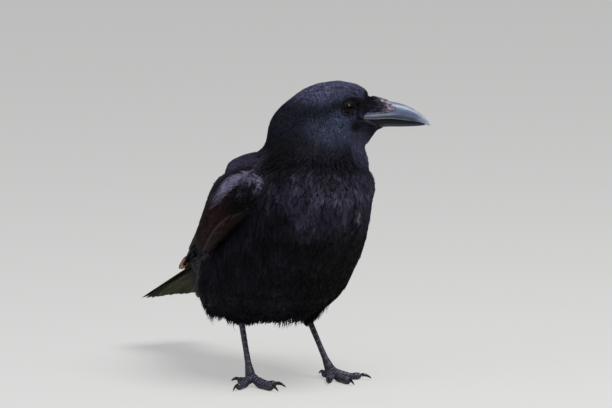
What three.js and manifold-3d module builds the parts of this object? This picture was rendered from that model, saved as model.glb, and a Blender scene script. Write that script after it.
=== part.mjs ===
// American crow (Corvus brachyrhynchos) standing still with its head turned to its left. Life size.
// Millimetres, +Z up. The bird faces -Y and its left side is +X. The feet stand on Z = 0.
import * as THREE from "three";
import { mergeVertices } from "three/addons/utils/BufferGeometryUtils.js";
import Module from "manifold-3d";

const wasm = await Module();
wasm.setup();

// ---- driving dimensions -----------------------------------------------------------------------
const SEAM = 0.3; // air between two neighbouring solids
const RIGHT = -1;
const LEFT = 1;

// Level slices through the plumage, from the lowest belly plume to the crown. "at" is the middle of
// the slice, "along" its half size the way it faces, "across" its half size sideways, and "turn" the
// degrees it has swung to the bird's left as the neck twists.
const BODY_SLICES = [
  { part: "belly tip", at: [0, 52, 46], along: 0, across: 0, turn: 0 },
  { part: "belly plumes", at: [0, 52, 51], along: 36, across: 35, turn: 0 },
  { part: "lower belly", at: [0, 48, 60], along: 51, across: 50, turn: 0 },
  { part: "vent", at: [0, 36, 74], along: 68, across: 58, turn: 0 },
  { part: "flanks", at: [0, 20, 100], along: 81, across: 60, turn: 0 },
  { part: "keel", at: [0, 5, 123], along: 86, across: 60, turn: 0 },
  { part: "breast", at: [0, -8, 146], along: 85, across: 58, turn: 0 },
  { part: "shoulders", at: [0, -19, 171], along: 80, across: 55, turn: 4 },
  { part: "mantle", at: [-2, -23, 189], along: 69, across: 50, turn: 14 },
  { part: "nape", at: [3, -36, 200], along: 50, across: 40, turn: 36 },
  { part: "neck", at: [4, -41, 210], along: 42, across: 34, turn: 52 },
  { part: "throat", at: [4.2, -43, 221], along: 41, across: 29, turn: 57 },
  { part: "chin", at: [6.3, -45.3, 232], along: 40.5, across: 25, turn: 57 },
  { part: "cheeks", at: [9.9, -47.6, 240.7], along: 38.4, across: 23.5, turn: 57 },
  { part: "brows", at: [14.4, -50.5, 249.4], along: 33.6, across: 21.5, turn: 57 },
  { part: "forehead", at: [17.2, -52.3, 257.4], along: 26, across: 17, turn: 57 },
  { part: "crown", at: [19.5, -53.8, 265], along: 0, across: 0, turn: 57 },
];
const NECK_BOTTOM = 186; // level of the seam between trunk and neck
const HEAD_BOTTOM = 217; // level of the seam between neck and head

// Rump with the coverts that wrap the root of the tail, from inside the back to the last covert tip.
const RUMP = [
  { at: [0, 36, 122], wide: 0, over: 0, under: 0 },
  { at: [0, 46, 119], wide: 38, over: 22, under: 24 },
  { at: [0, 80, 107], wide: 31, over: 15, under: 20 },
  { at: [0, 112, 95], wide: 26, over: 9, under: 11 },
  { at: [0, 137, 85], wide: 18, over: 5, under: 6 },
  { at: [0, 152, 78], wide: 0, over: 0, under: 0 },
];

// Tail fan, folded: a thin blade that widens to a rounded end.
const TAIL_ROOT = [0, 74, 118];
const TAIL_END = [0, 219, 48.5];
const TAIL_BLADE = [
  { along: 0.0, wide: 0, thick: 0 },
  { along: 0.03, wide: 14, thick: 4.5 },
  { along: 0.3, wide: 20, thick: 3.6 },
  { along: 0.65, wide: 27, thick: 2.6 },
  { along: 0.92, wide: 34, thick: 1.9 },
  { along: 0.985, wide: 27, thick: 1.5 },
  { along: 1.0, wide: 0, thick: 0 },
];
const TAIL_ARCH = 0.0045; // droop of the outer tail feathers, per millimetre squared from the middle

// Head frame: level, with its origin between the eyes. "ahead" points along the bill.
const HEAD_YAW = 57; // degrees to the bird's left
const HEAD_ORIGIN = [29, -60, 244.5];
const EYE_RADIUS = 5.4;
const EYE_AT = { ahead: -1.2, up: -0.9, out: 15.3 };

// Bill, as profile heights above the head origin at distances ahead of it. The cutting edges meet
// between "edge" of the upper half and the top of the lower half.
const UPPER_BILL = [
  { ahead: 6, ridge: 2.4, edge: -6, wide: 0 },
  { ahead: 9, ridge: 4.6, edge: -9.8, wide: 9 },
  { ahead: 20, ridge: 5, edge: -10, wide: 8.6 },
  { ahead: 28, ridge: 3.9, edge: -9.1, wide: 7.4 },
  { ahead: 36, ridge: 2.7, edge: -9.1, wide: 6.4 },
  { ahead: 44.5, ridge: 0.6, edge: -10.3, wide: 5.3 },
  { ahead: 52, ridge: -2.6, edge: -11.5, wide: 4.1 },
  { ahead: 59, ridge: -7.2, edge: -13.4, wide: 2.8 },
  { ahead: 64.2, ridge: -12, edge: -16, wide: 1.5 },
  { ahead: 66.8, ridge: -16.3, edge: -16.3, wide: 0 },
];
const LOWER_BILL = [
  { ahead: 4, edge: -12, keel: -12, wide: 0 },
  { ahead: 8, edge: -7, keel: -17, wide: 8 },
  { ahead: 20, edge: -7.7, keel: -18.8, wide: 7.8 },
  { ahead: 32, edge: -7.7, keel: -18.1, wide: 6.2 },
  { ahead: 44, edge: -8.7, keel: -17.9, wide: 4.7 },
  { ahead: 54, edge: -10.5, keel: -17.4, wide: 3.3 },
  { ahead: 60, edge: -12.2, keel: -16.8, wide: 2 },
  { ahead: 62.8, edge: -15.8, keel: -15.8, wide: 0 },
];

// Mound of stiff nasal bristles that lies over the root of the upper bill.
const BRISTLES = [
  { ahead: 4, top: 4, bottom: 0, wide: 0 },
  { ahead: 9, top: 9, bottom: -6.4, wide: 10.8 },
  { ahead: 16, top: 8.2, bottom: -6.8, wide: 10.4 },
  { ahead: 24, top: 6.3, bottom: -6.4, wide: 8.9 },
  { ahead: 32, top: 4.3, bottom: -5.4, wide: 7.5 },
  { ahead: 37, top: 3.1, bottom: -4.4, wide: 5.8 },
  { ahead: 39, top: 0.4, bottom: -1.6, wide: 0 },
];

// Chin and throat feathers, from under the root of the lower bill down to the neck.
const CHIN = [
  { ahead: -6, top: -18, bottom: -24, wide: 0 },
  { ahead: 0, top: -12, bottom: -38, wide: 15 },
  { ahead: 8, top: -10, bottom: -34.5, wide: 13 },
  { ahead: 15, top: -10, bottom: -26.5, wide: 10 },
  { ahead: 21, top: -12, bottom: -21.2, wide: 7.4 },
  { ahead: 27, top: -15, bottom: -19, wide: 3.6 },
  { ahead: 29, top: -17.6, bottom: -17.9, wide: 0 },
];

// Right wing, folded, from the wrist to the tip of the longest primary. "wide" is half the folded
// wing's chord, "over" its half thickness outward, and "lean" the angle its chord leans in at the top.
const WING = [
  { part: "wrist", at: [-44, -59, 175], wide: 0, over: 0, under: 0, lean: 4 },
  { part: "shoulder", at: [-45, -53, 175], wide: 11, over: 9, under: 8, lean: 4 },
  { part: "marginal coverts", at: [-48, -30, 170], wide: 20, over: 13, under: 10, lean: 8 },
  { part: "greater coverts", at: [-54, 12, 155], wide: 26, over: 12, under: 9, lean: 15 },
  { part: "secondaries", at: [-48, 52, 134], wide: 26, over: 9, under: 8, lean: 29 },
  { part: "tertials", at: [-35, 95, 113], wide: 21, over: 6, under: 5, lean: 44 },
  { part: "primaries", at: [-22, 138, 95], wide: 12.5, over: 4, under: 3, lean: 52 },
  { part: "primary ends", at: [-13, 170, 83], wide: 7, over: 2.2, under: 1.8, lean: 56 },
  { part: "wing tip", at: [-8.5, 188, 76.5], wide: 0, over: 0, under: 0, lean: 56 },
];

// Legs. The feathered thigh runs from inside the trunk to the ankle, the bare tarsus on to the foot.
const LEGS = {
  right: { side: RIGHT, hip: [-31, 16, 82], ankle: [-32.3, 26, 55.5], foot: [-34, 4, 6.5], yaw: -8 },
  left: { side: LEFT, hip: [31, 16, 82], ankle: [33, 28, 51], foot: [43, 5, 6.5], yaw: 0 },
};
const THIGH_RADII = [17, 14, 8.6, 5.2];
const TARSUS = { across: 2.5, deep: 2.9, ankle: 3.9, joint: 4.9 };

// Toes, counted as a bird's are: 1 points back, 2 inward, 3 ahead and 4 outward. "fan" is the angle
// from straight ahead, towards the outside of the foot, and "rise" the height of the toe's root.
const TOES = [
  { digit: 1, fan: 176, long: 16, thick: 3.5, claw: 12, rise: 5.4 },
  { digit: 2, fan: -31, long: 24, thick: 3.4, claw: 11, rise: 8 },
  { digit: 3, fan: 1, long: 33, thick: 3.8, claw: 12, rise: 9.4 },
  { digit: 4, fan: 60, long: 26, thick: 3.4, claw: 11, rise: 8 },
];
const TOE_LEVEL = 3.1; // height of a toe's middle line over the floor

// ---- materials --------------------------------------------------------------------------------
function surface(colour, roughness, metalness = 0) {
  return new THREE.MeshStandardMaterial({ color: colour, roughness, metalness });
}
const PLUMAGE = surface("#1c1b21", 0.62);
const FLIGHT_FEATHERS = surface("#241d1f", 0.55);
const TAIL_FEATHERS = surface("#2a2824", 0.6);
const HORN = surface("#2b2f3b", 0.32);
const SCALES = surface("#26262e", 0.5);
const CLAW_HORN = surface("#141417", 0.3);
const EYE = surface("#140d0b", 0.08);

// ---- shaping ----------------------------------------------------------------------------------
const DEGREE = Math.PI / 180;
const UP = new THREE.Vector3(0, 0, 1);
const AHEAD = new THREE.Vector3(0, -1, 0);

// Catmull-Rom blend of four neighbouring numbers.
function blend(a, b, c, d, t) {
  const pull = 0.5 * (c - a);
  const push = 0.5 * (d - b);
  const t2 = t * t;
  const t3 = t2 * t;
  return b * (2 * t3 - 3 * t2 + 1) + pull * (t3 - 2 * t2 + t) + c * (3 * t2 - 2 * t3) + push * (t3 - t2);
}

// One number of the stations at a fractional station position.
function along(stations, place, pick) {
  const last = stations.length - 1;
  const low = Math.min(Math.floor(place), last - 1);
  const value = (index) => pick(stations[Math.min(Math.max(index, 0), last)]);
  return blend(value(low - 1), value(low), value(low + 1), value(low + 2), place - low);
}

// Half sizes are blended as squares, so a station of no size closes the body in a round cap.
function halfSize(stations, place, pick) {
  return Math.sqrt(Math.max(along(stations, place, (s) => pick(s) ** 2), 0));
}

// Closed body through stations { at, wide, over, under, roll }. The rings stand square to the middle
// line, or lie level when "level" is set. "grow" fattens the body by that much all round, and a
// "blunt" over 1 squares the ring's outline off.
function loft(stations, options) {
  const { sides = 16, steps = 2, level = false, up = UP, grow = 0, blunt = 1, bend = null } = options;
  const last = stations.length - 1;
  const rings = last * steps;
  const shape = new THREE.SphereGeometry(1, sides, rings);
  const position = shape.attributes.position;
  const middle = (place) => new THREE.Vector3(
    along(stations, place, (s) => s.at[0]),
    along(stations, place, (s) => s.at[1]),
    along(stations, place, (s) => s.at[2]),
  );
  for (let ring = 0; ring <= rings; ring += 1) {
    const place = ring / steps;
    const centre = middle(place);
    const before = middle(Math.max(place - 0.3, 0));
    const after = middle(Math.min(place + 0.3, last));
    const tangent = level ? UP.clone() : after.sub(before).normalize();
    const side = new THREE.Vector3().crossVectors(tangent, level ? AHEAD : up).normalize();
    const over = new THREE.Vector3().crossVectors(side, tangent);
    const roll = along(stations, place, (s) => s.roll ?? 0) * DEGREE;
    side.applyAxisAngle(tangent, roll);
    over.applyAxisAngle(tangent, roll);
    const pole = ring === 0 || ring === rings;
    if (pole) {
      centre.addScaledVector(tangent, ring === 0 ? -grow : grow);
    }
    const extra = pole ? 0 : grow;
    const wide = halfSize(stations, place, (s) => s.wide) + extra;
    const high = halfSize(stations, place, (s) => s.over) + extra;
    const low = halfSize(stations, place, (s) => s.under ?? s.over) + extra;
    for (let step = 0; step <= sides; step += 1) {
      const angle = (step % sides) / sides * 2 * Math.PI;
      const spread = Math.cos(angle);
      const rise = Math.sin(angle);
      const point = centre.clone();
      if (!pole) {
        const sideways = Math.sign(spread) * Math.abs(spread) ** (1 / blunt);
        const upright = Math.sign(rise) * Math.abs(rise) ** (1 / blunt);
        point.addScaledVector(side, sideways * wide);
        point.addScaledVector(over, upright * (rise > 0 ? high : low));
      }
      if (bend) {
        bend(point);
      }
      position.setXYZ(ring * (sides + 1) + step, point.x, point.y, point.z);
    }
  }
  return solid(shape);
}

// A three.js geometry as a solid for joining and cutting, with its faces turned outward.
function solid(geometry) {
  geometry.deleteAttribute("normal");
  geometry.deleteAttribute("uv");
  const welded = mergeVertices(geometry, 1e-4);
  const points = welded.attributes.position.array;
  const faces = Array.from(welded.index.array);
  const corner = (index) => new THREE.Vector3().fromArray(points, 3 * index);
  let volume = 0;
  for (let i = 0; i < faces.length; i += 3) {
    volume += corner(faces[i]).dot(corner(faces[i + 1]).cross(corner(faces[i + 2])));
  }
  if (volume < 0) {
    faces.reverse();
  }
  const vertProperties = new Float32Array(points);
  const triVerts = new Uint32Array(faces);
  return new wasm.Manifold(new wasm.Mesh({ numProp: 3, vertProperties, triVerts }));
}

// A box between two corners, used to part the body at a level and to trim the soles.
function slab(from, to) {
  const size = new THREE.Vector3().subVectors(to, from);
  const box = new THREE.BoxGeometry(size.x, size.y, size.z);
  const middle = from.clone().addScaledVector(size, 0.5);
  box.translate(middle.x, middle.y, middle.z);
  return solid(box);
}

function levelsBetween(low, high) {
  return slab(new THREE.Vector3(-400, -400, low), new THREE.Vector3(400, 400, high));
}

// The largest of the pieces that a cut leaves, so that no crumb stays behind.
function largest(body) {
  const pieces = body.decompose();
  pieces.sort((a, b) => b.volume() - a.volume());
  return pieces[0];
}

const crow = new THREE.Group();

function addPart(name, body, material) {
  const mesh = largest(body).getMesh();
  const geometry = new THREE.BufferGeometry();
  geometry.setAttribute("position", new THREE.BufferAttribute(new Float32Array(mesh.vertProperties), 3));
  geometry.setIndex(new THREE.BufferAttribute(new Uint32Array(mesh.triVerts), 1));
  geometry.computeVertexNormals();
  const part = new THREE.Mesh(geometry, material);
  part.name = name;
  crow.add(part);
}

// ---- plumage ----------------------------------------------------------------------------------
const headAhead = new THREE.Vector3(Math.sin(HEAD_YAW * DEGREE), -Math.cos(HEAD_YAW * DEGREE), 0);
const headRight = new THREE.Vector3(-Math.cos(HEAD_YAW * DEGREE), -Math.sin(HEAD_YAW * DEGREE), 0);

function headPoint(ahead, up, out = 0) {
  const point = new THREE.Vector3(...HEAD_ORIGIN);
  point.addScaledVector(headAhead, ahead);
  point.addScaledVector(headRight, out);
  point.z += up;
  return point;
}

// Body along the bill: each station sits at the height where the bill is widest.
function billStations(profile, top, bottom, widestAt) {
  return profile.map((s) => {
    const height = s[bottom] + (s[top] - s[bottom]) * widestAt;
    return {
      at: headPoint(s.ahead, height).toArray(),
      wide: s.wide,
      over: s[top] - height,
      under: height - s[bottom],
    };
  });
}

const bodyStations = BODY_SLICES.map((s) => ({ at: s.at, wide: s.across, over: s.along, roll: s.turn }));
const bristleStations = billStations(BRISTLES, "top", "bottom", 0.4);
const chinStations = billStations(CHIN, "top", "bottom", 0.5);

function plumage(grow) {
  const slices = loft(bodyStations, { sides: 32, steps: 2, level: true, grow });
  const rump = loft(RUMP, { sides: 18, steps: 2, grow });
  const bristles = loft(bristleStations, { sides: 14, steps: 1, grow });
  const chin = loft(chinStations, { sides: 12, steps: 1, grow });
  return slices.add(rump).add(bristles).add(chin);
}

const body = plumage(0);
const bodyGrown = plumage(SEAM);

const sockets = [RIGHT, LEFT].map((side) => {
  const place = headPoint(EYE_AT.ahead, EYE_AT.up, -side * EYE_AT.out);
  const hollow = new THREE.SphereGeometry(EYE_RADIUS + SEAM, 16, 10);
  hollow.translate(place.x, place.y, place.z);
  return solid(hollow);
});

const head = body.intersect(levelsBetween(HEAD_BOTTOM + SEAM / 2, 400));
addPart("head", head.subtract(sockets[0]).subtract(sockets[1]), PLUMAGE);
addPart("neck", body.intersect(levelsBetween(NECK_BOTTOM + SEAM / 2, HEAD_BOTTOM - SEAM / 2)), PLUMAGE);
addPart("trunk", body.intersect(levelsBetween(0, NECK_BOTTOM - SEAM / 2)), PLUMAGE);

for (const side of [RIGHT, LEFT]) {
  const place = headPoint(EYE_AT.ahead, EYE_AT.up, -side * EYE_AT.out);
  const ball = new THREE.SphereGeometry(EYE_RADIUS, 16, 10);
  ball.translate(place.x, place.y, place.z);
  addPart(side === RIGHT ? "eye_right" : "eye_left", solid(ball), EYE);
}

// ---- bill -------------------------------------------------------------------------------------
const upperStations = billStations(UPPER_BILL, "ridge", "edge", 0.3);
const lowerStations = billStations(LOWER_BILL, "edge", "keel", 0.62);
const upperBill = loft(upperStations, { sides: 16, steps: 1 });
const upperBillGrown = loft(upperStations, { sides: 16, steps: 1, grow: SEAM });
addPart("bill_upper", upperBill.subtract(bodyGrown), HORN);
const lowerBill = loft(lowerStations, { sides: 14, steps: 1 });
addPart("bill_lower", lowerBill.subtract(upperBillGrown).subtract(bodyGrown), HORN);

// ---- tail -------------------------------------------------------------------------------------
const tailStations = TAIL_BLADE.map((s) => ({
  at: TAIL_ROOT.map((value, axis) => value + (TAIL_END[axis] - value) * s.along),
  wide: s.wide,
  over: s.thick,
}));
function droop(point) {
  point.z -= TAIL_ARCH * point.x * point.x;
}
const tail = loft(tailStations, { sides: 24, steps: 2, bend: droop });
const tailGrown = loft(tailStations, { sides: 24, steps: 2, bend: droop, grow: SEAM });
addPart("tail", tail.subtract(bodyGrown), TAIL_FEATHERS);

// ---- wings ------------------------------------------------------------------------------------
const midline = slab(new THREE.Vector3(-SEAM, -400, 0), new THREE.Vector3(SEAM, 400, 400));
for (const side of [RIGHT, LEFT]) {
  const stations = WING.map((s) => ({
    at: [-side * s.at[0], s.at[1], s.at[2]],
    wide: s.wide,
    over: s.over,
    under: s.under,
    roll: side * (90 - s.lean),
  }));
  const wing = loft(stations, { sides: 20, steps: 2, blunt: 1.3 });
  const name = side === RIGHT ? "wing_right" : "wing_left";
  addPart(name, wing.subtract(bodyGrown).subtract(tailGrown).subtract(midline), FLIGHT_FEATHERS);
}

// ---- legs and feet ----------------------------------------------------------------------------
const underFloor = levelsBetween(-40, 0);

// Middle line of a toe: it leaves the foot joint, bears on its pads and lifts a little at the claw.
function toeStations(leg, toe) {
  const turn = (leg.yaw + toe.fan) * DEGREE * leg.side;
  const out = new THREE.Vector3(Math.sin(turn), -Math.cos(turn), 0);
  const foot = new THREE.Vector3(...leg.foot);
  const place = (share, height) => {
    const point = foot.clone().addScaledVector(out, toe.long * share);
    return point.setZ(height).toArray();
  };
  const stations = [
    { at: place(-0.06, toe.rise), wide: 0, over: 0 },
    { at: place(0.02, toe.rise), wide: toe.thick, over: toe.thick },
    { at: place(0.24, (toe.rise + TOE_LEVEL) / 2), wide: toe.thick * 0.98, over: toe.thick },
    { at: place(0.45, TOE_LEVEL + 0.4), wide: toe.thick * 0.98, over: toe.thick * 1.08 },
    { at: place(0.65, TOE_LEVEL - 0.3), wide: toe.thick * 0.8, over: toe.thick * 0.86 },
    { at: place(0.86, TOE_LEVEL), wide: toe.thick * 0.92, over: toe.thick },
    { at: place(0.97, TOE_LEVEL + 0.4), wide: toe.thick * 0.7, over: toe.thick * 0.72 },
    { at: place(1.03, TOE_LEVEL + 0.6), wide: 0, over: 0 },
  ];
  return { stations, out, tip: new THREE.Vector3(...place(0.94, TOE_LEVEL + 0.7)) };
}

// Curved claw that starts inside the toe's end and comes down to just over the floor.
function clawStations(tip, out, toe) {
  const reach = (share, height, size) => ({
    at: tip.clone().addScaledVector(out, toe.claw * share).setZ(height).toArray(),
    wide: size * 0.78,
    over: size,
  });
  return [
    reach(-0.05, tip.z, 0),
    reach(0.05, tip.z + 0.1, 1.7),
    reach(0.35, tip.z + 0.7, 1.65),
    reach(0.65, tip.z - 0.3, 1.15),
    reach(0.86, tip.z - 1.8, 0.7),
    reach(0.97, tip.z - 3.0, 0),
  ];
}

for (const [name, leg] of Object.entries(LEGS)) {
  const hip = new THREE.Vector3(...leg.hip);
  const ankle = new THREE.Vector3(...leg.ankle);
  const foot = new THREE.Vector3(...leg.foot);

  const thighPoint = (share) => hip.clone().lerp(ankle, share).toArray();
  const thigh = [
    { at: thighPoint(-0.3), wide: 0, over: 0 },
    { at: thighPoint(0), wide: THIGH_RADII[0], over: THIGH_RADII[0] },
    { at: thighPoint(0.45), wide: THIGH_RADII[1], over: THIGH_RADII[1] * 1.1 },
    { at: thighPoint(0.85), wide: THIGH_RADII[2], over: THIGH_RADII[2] * 1.05 },
    { at: thighPoint(1.06), wide: THIGH_RADII[3], over: THIGH_RADII[3] },
    { at: thighPoint(1.16), wide: 0, over: 0 },
  ];
  const thighGrown = loft(thigh, { sides: 12, steps: 2, up: AHEAD, grow: SEAM });
  addPart(`thigh_${name}`, loft(thigh, { sides: 12, steps: 2, up: AHEAD }).subtract(bodyGrown), PLUMAGE);

  const shin = (share) => ankle.clone().lerp(foot, share).toArray();
  const tarsus = [
    { at: shin(-0.06), wide: 0, over: 0 },
    { at: shin(0), wide: TARSUS.ankle, over: TARSUS.ankle },
    { at: shin(0.14), wide: TARSUS.across, over: TARSUS.deep * 1.08 },
    { at: shin(0.5), wide: TARSUS.across * 0.96, over: TARSUS.deep * 0.96 },
    { at: shin(0.74), wide: TARSUS.across * 1.1, over: TARSUS.deep * 1.15, under: TARSUS.deep },
    { at: shin(0.9), wide: TARSUS.joint * 0.85, over: TARSUS.joint * 1.1, under: TARSUS.deep * 1.2 },
    { at: shin(1), wide: TARSUS.joint, over: TARSUS.joint, under: TARSUS.joint },
    { at: shin(1.06), wide: 0, over: 0 },
  ];
  const shank = loft(tarsus, { sides: 12, steps: 1, up: AHEAD });
  const shankGrown = loft(tarsus, { sides: 12, steps: 1, up: AHEAD, grow: SEAM });
  const foreleg = shank.subtract(thighGrown).subtract(bodyGrown).subtract(underFloor);
  addPart(`tarsus_${name}`, foreleg, SCALES);

  let taken = shankGrown;
  for (const toe of TOES) {
    const { stations, out, tip } = toeStations(leg, toe);
    const shape = { sides: 10, steps: 1 };
    const digit = loft(stations, shape).subtract(taken).subtract(underFloor);
    addPart(`toe_${name}_${toe.digit}`, digit, SCALES);
    const digitGrown = loft(stations, { ...shape, grow: SEAM });
    taken = taken.add(digitGrown);
    const claw = loft(clawStations(tip, out, toe), { sides: 8, steps: 1 });
    addPart(`claw_${name}_${toe.digit}`, claw.subtract(digitGrown).subtract(underFloor), CLAW_HORN);
  }
}

// The origin goes to the middle of the standing bird's footprint box, at floor level.
const reach = new THREE.Box3().setFromObject(crow);
const centre = reach.getCenter(new THREE.Vector3());
crow.position.set(-centre.x, -centre.y, -reach.min.z);

export default crow;
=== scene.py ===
import math
import bmesh
import bpy
import numpy as np
from mathutils import Matrix, Vector, noise
from mathutils.bvhtree import BVHTree


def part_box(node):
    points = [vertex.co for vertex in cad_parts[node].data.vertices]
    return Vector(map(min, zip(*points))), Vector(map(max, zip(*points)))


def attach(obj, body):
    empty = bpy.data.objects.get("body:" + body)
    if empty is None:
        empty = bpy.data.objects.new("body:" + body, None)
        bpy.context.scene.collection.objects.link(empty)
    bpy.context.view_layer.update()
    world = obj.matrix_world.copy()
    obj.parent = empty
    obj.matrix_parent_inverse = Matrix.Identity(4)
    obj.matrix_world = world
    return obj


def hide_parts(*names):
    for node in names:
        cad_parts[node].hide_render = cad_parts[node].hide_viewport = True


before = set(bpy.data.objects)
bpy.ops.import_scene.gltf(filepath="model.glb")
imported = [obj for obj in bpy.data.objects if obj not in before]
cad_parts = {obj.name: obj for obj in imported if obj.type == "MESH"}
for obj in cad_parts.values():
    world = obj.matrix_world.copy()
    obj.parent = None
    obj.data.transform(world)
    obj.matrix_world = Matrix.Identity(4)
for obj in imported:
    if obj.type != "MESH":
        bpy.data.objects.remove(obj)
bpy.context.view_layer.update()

# ---- Skin ----
# The bird's skin is thin and dark grey over the flesh, hidden by the coat except round the eyes
# and between thin feathers. It is one closed shape with no seams, and the coat grows from it.
scene = bpy.context.scene
dice = np.random.default_rng(7)
MM = 0.001
RIGHT, LEFT = -1, 1
# Places on the bird are in millimetres from the point on the floor between its feet. Its eyes in
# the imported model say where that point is, and which way the turned head looks.
eye_at = {name: sum(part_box(name), Vector()) / 2 for name in ("eye_right", "eye_left")}
HEAD_RIGHT = (eye_at["eye_right"] - eye_at["eye_left"]).normalized()
HEAD_AHEAD = Vector((-HEAD_RIGHT.y, HEAD_RIGHT.x, 0))
UP = Vector((0, 0, 1))
BETWEEN_EYES = sum(eye_at.values(), Vector()) / 2
HEAD_CENTRE = BETWEEN_EYES + 1.2 * MM * HEAD_AHEAD + 0.9 * MM * UP
FEET = HEAD_CENTRE - Vector((29, -60, 244.5)) * MM
# how deep the feathers lie over the skin
COAT_DEPTH = {"face": 1.3 * MM, "head": 2.2 * MM, "neck": 4.0 * MM, "body": 5.5 * MM, "wing": 3.0 * MM}


def linear(code):
    """An sRGB hex colour as linear red, green, blue and opaque alpha."""
    parts = [int(code[i:i + 2], 16) / 255 for i in (1, 3, 5)]
    parts = [c / 12.92 if c <= 0.04045 else ((c + 0.055) / 1.055) ** 2.4 for c in parts]
    return (*parts, 1.0)


def dyed(code):
    """The same colour as one row of red, green and blue, for a mesh's own points."""
    return np.array(linear(code)[:3])


def add_node(tree, kind, sockets=None, **settings):
    """Adds a node, sets its attributes, and fills its sockets with values or links."""
    node = tree.nodes.new(kind)
    for name, value in settings.items():
        setattr(node, name, value)
    for name, value in (sockets or {}).items():
        if isinstance(value, bpy.types.NodeSocket):
            tree.links.new(value, node.inputs[name])
        else:
            node.inputs[name].default_value = value
    return node


def new_material(name, **shader):
    """A material with one Principled shader, its sockets set by name."""
    material = bpy.data.materials.new(name)
    material.use_nodes = True
    tree = material.node_tree
    principled = tree.nodes["Principled BSDF"]
    for socket, value in shader.items():
        principled.inputs[socket.replace("_", " ")].default_value = value
    return material, tree, principled


def step(value, low, high):
    """0 below low, 1 above high, smooth between."""
    t = np.clip((value - low) / (high - low), 0, 1)
    return t * t * (3 - 2 * t)


def unit(rows):
    """Rows of vectors made one long."""
    return rows / np.maximum(np.linalg.norm(rows, axis=-1, keepdims=True), 1e-12)


def as_mesh(shape, name):
    """A worked shape as a mesh of its own."""
    mesh = bpy.data.meshes.new(name)
    shape.to_mesh(mesh)
    shape.free()
    return mesh


def melted(names, voxel, rounds):
    """The named solids run together into one smooth closed mesh."""
    solids = bmesh.new()
    for name in names:
        solids.from_mesh(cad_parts[name].data)
    bmesh.ops.remove_doubles(solids, verts=solids.verts, dist=1e-6)
    mesh = as_mesh(solids, "solids")
    piece = bpy.data.objects.new("solids", mesh)
    scene.collection.objects.link(piece)
    melt = piece.modifiers.new("melt", "REMESH")
    melt.mode = "VOXEL"
    melt.voxel_size = voxel
    soften = piece.modifiers.new("soften", "SMOOTH")
    soften.factor = 0.5
    soften.iterations = rounds
    graph = bpy.context.evaluated_depsgraph_get()
    shape = bpy.data.meshes.new_from_object(piece.evaluated_get(graph))
    bpy.data.objects.remove(piece)
    bpy.data.meshes.remove(mesh)
    return shape


def numbers(rows, name, width=3, kind=float):
    """A mesh's own numbers as rows."""
    out = np.empty(len(rows) * width, kind)
    rows.foreach_get(name, out)
    return out.reshape(-1, width)


class Form:
    """A smooth shape that feathers are laid on: its nearest points and the way it faces there."""

    def __init__(self, mesh):
        mesh.calc_loop_triangles()
        self.points = numbers(mesh.vertices, "co")
        self.facing = numbers(mesh.vertices, "normal")
        self.corners = numbers(mesh.loop_triangles, "vertices", 3, np.int32)
        self.tree = BVHTree.FromPolygons(self.points.tolist(), self.corners.tolist())

    def nearest(self, places):
        """The form's closest points to these places, the way it faces there, and how far off."""
        found = [self.tree.find_nearest(p) for p in places.tolist()]
        at = np.array([f[0] for f in found])
        three = self.corners[[f[2] for f in found]]
        weight = 1 / (np.linalg.norm(self.points[three] - at[:, None], axis=2) + 1e-6) ** 2
        facing = unit((self.facing[three] * weight[..., None]).sum(1))
        return at, facing, np.array([f[3] for f in found])

    def scatter(self, count):
        """Random places spread evenly over the form's surface."""
        three = self.points[self.corners]
        area = np.linalg.norm(np.cross(three[:, 1] - three[:, 0], three[:, 2] - three[:, 0]), axis=1)
        chosen = dice.choice(len(area), count, p=area / area.sum())
        mix = dice.dirichlet((1, 1, 1), count)
        return (three[chosen] * mix[..., None]).sum(1)


def measures(places):
    """Places as millimetres from the feet, then ahead, right of and above the head's centre."""
    q = (places - np.array(FEET)) / MM
    rel = (places - np.array(HEAD_CENTRE)) / MM
    return q, rel @ np.array(HEAD_AHEAD), rel @ np.array(HEAD_RIGHT), rel[:, 2]


def coat_depth(places):
    """How deep the coat lies at places on the body: thin on the face, thick on the breast."""
    _, ahead, _, level = measures(places)
    depth = COAT_DEPTH["neck"] + (COAT_DEPTH["body"] - COAT_DEPTH["neck"]) * step(-level, 30, 75)
    depth = depth + (COAT_DEPTH["head"] - depth) * step(level, -28, -8)
    return depth + (COAT_DEPTH["face"] - depth) * step(ahead, 0, 14) * step(level, -26, -16)


def shrunk(mesh, depth_at, share=0.36):
    """Moves a mesh's points in by the coat's depth, but never past a share of its thickness."""
    form = Form(mesh)
    inward = -form.facing
    depth = depth_at(form.points)
    for i, (p, n) in enumerate(zip(form.points.tolist(), inward.tolist())):
        start = Vector(p) + Vector(n) * 0.1 * MM
        hit = form.tree.ray_cast(start, Vector(n))
        if hit[0] is not None:
            depth[i] = min(depth[i], share * hit[3])
    moved = form.points + inward * depth[:, None]
    mesh.vertices.foreach_set("co", moved.ravel())
    mesh.update()


def smooth(mesh):
    """Shades a mesh's faces as one round surface."""
    mesh.polygons.foreach_set("use_smooth", np.ones(len(mesh.polygons), bool))


def show(name, mesh, material, replaced=()):
    """Puts a finished mesh in the scene as a piece on the bird."""
    mesh.name = name
    mesh.materials.clear()
    mesh.materials.append(material)
    piece = bpy.data.objects.new(name, mesh)
    scene.collection.objects.link(piece)
    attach(piece, "root")
    if replaced:
        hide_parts(*replaced)
    return piece


FLESH = ("head", "neck", "trunk", "thigh_right", "thigh_left", "wing_right", "wing_left")
skin_mesh = melted(FLESH, 1.6 * MM, 6)
bird_form = Form(skin_mesh)
wing_form = {side: Form(melted((name,), 1.2 * MM, 4))
             for side, name in ((RIGHT, "wing_right"), (LEFT, "wing_left"))}


def off_wings(places):
    """How far places lie from either wing."""
    return np.minimum(wing_form[RIGHT].nearest(places)[2], wing_form[LEFT].nearest(places)[2])


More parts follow.
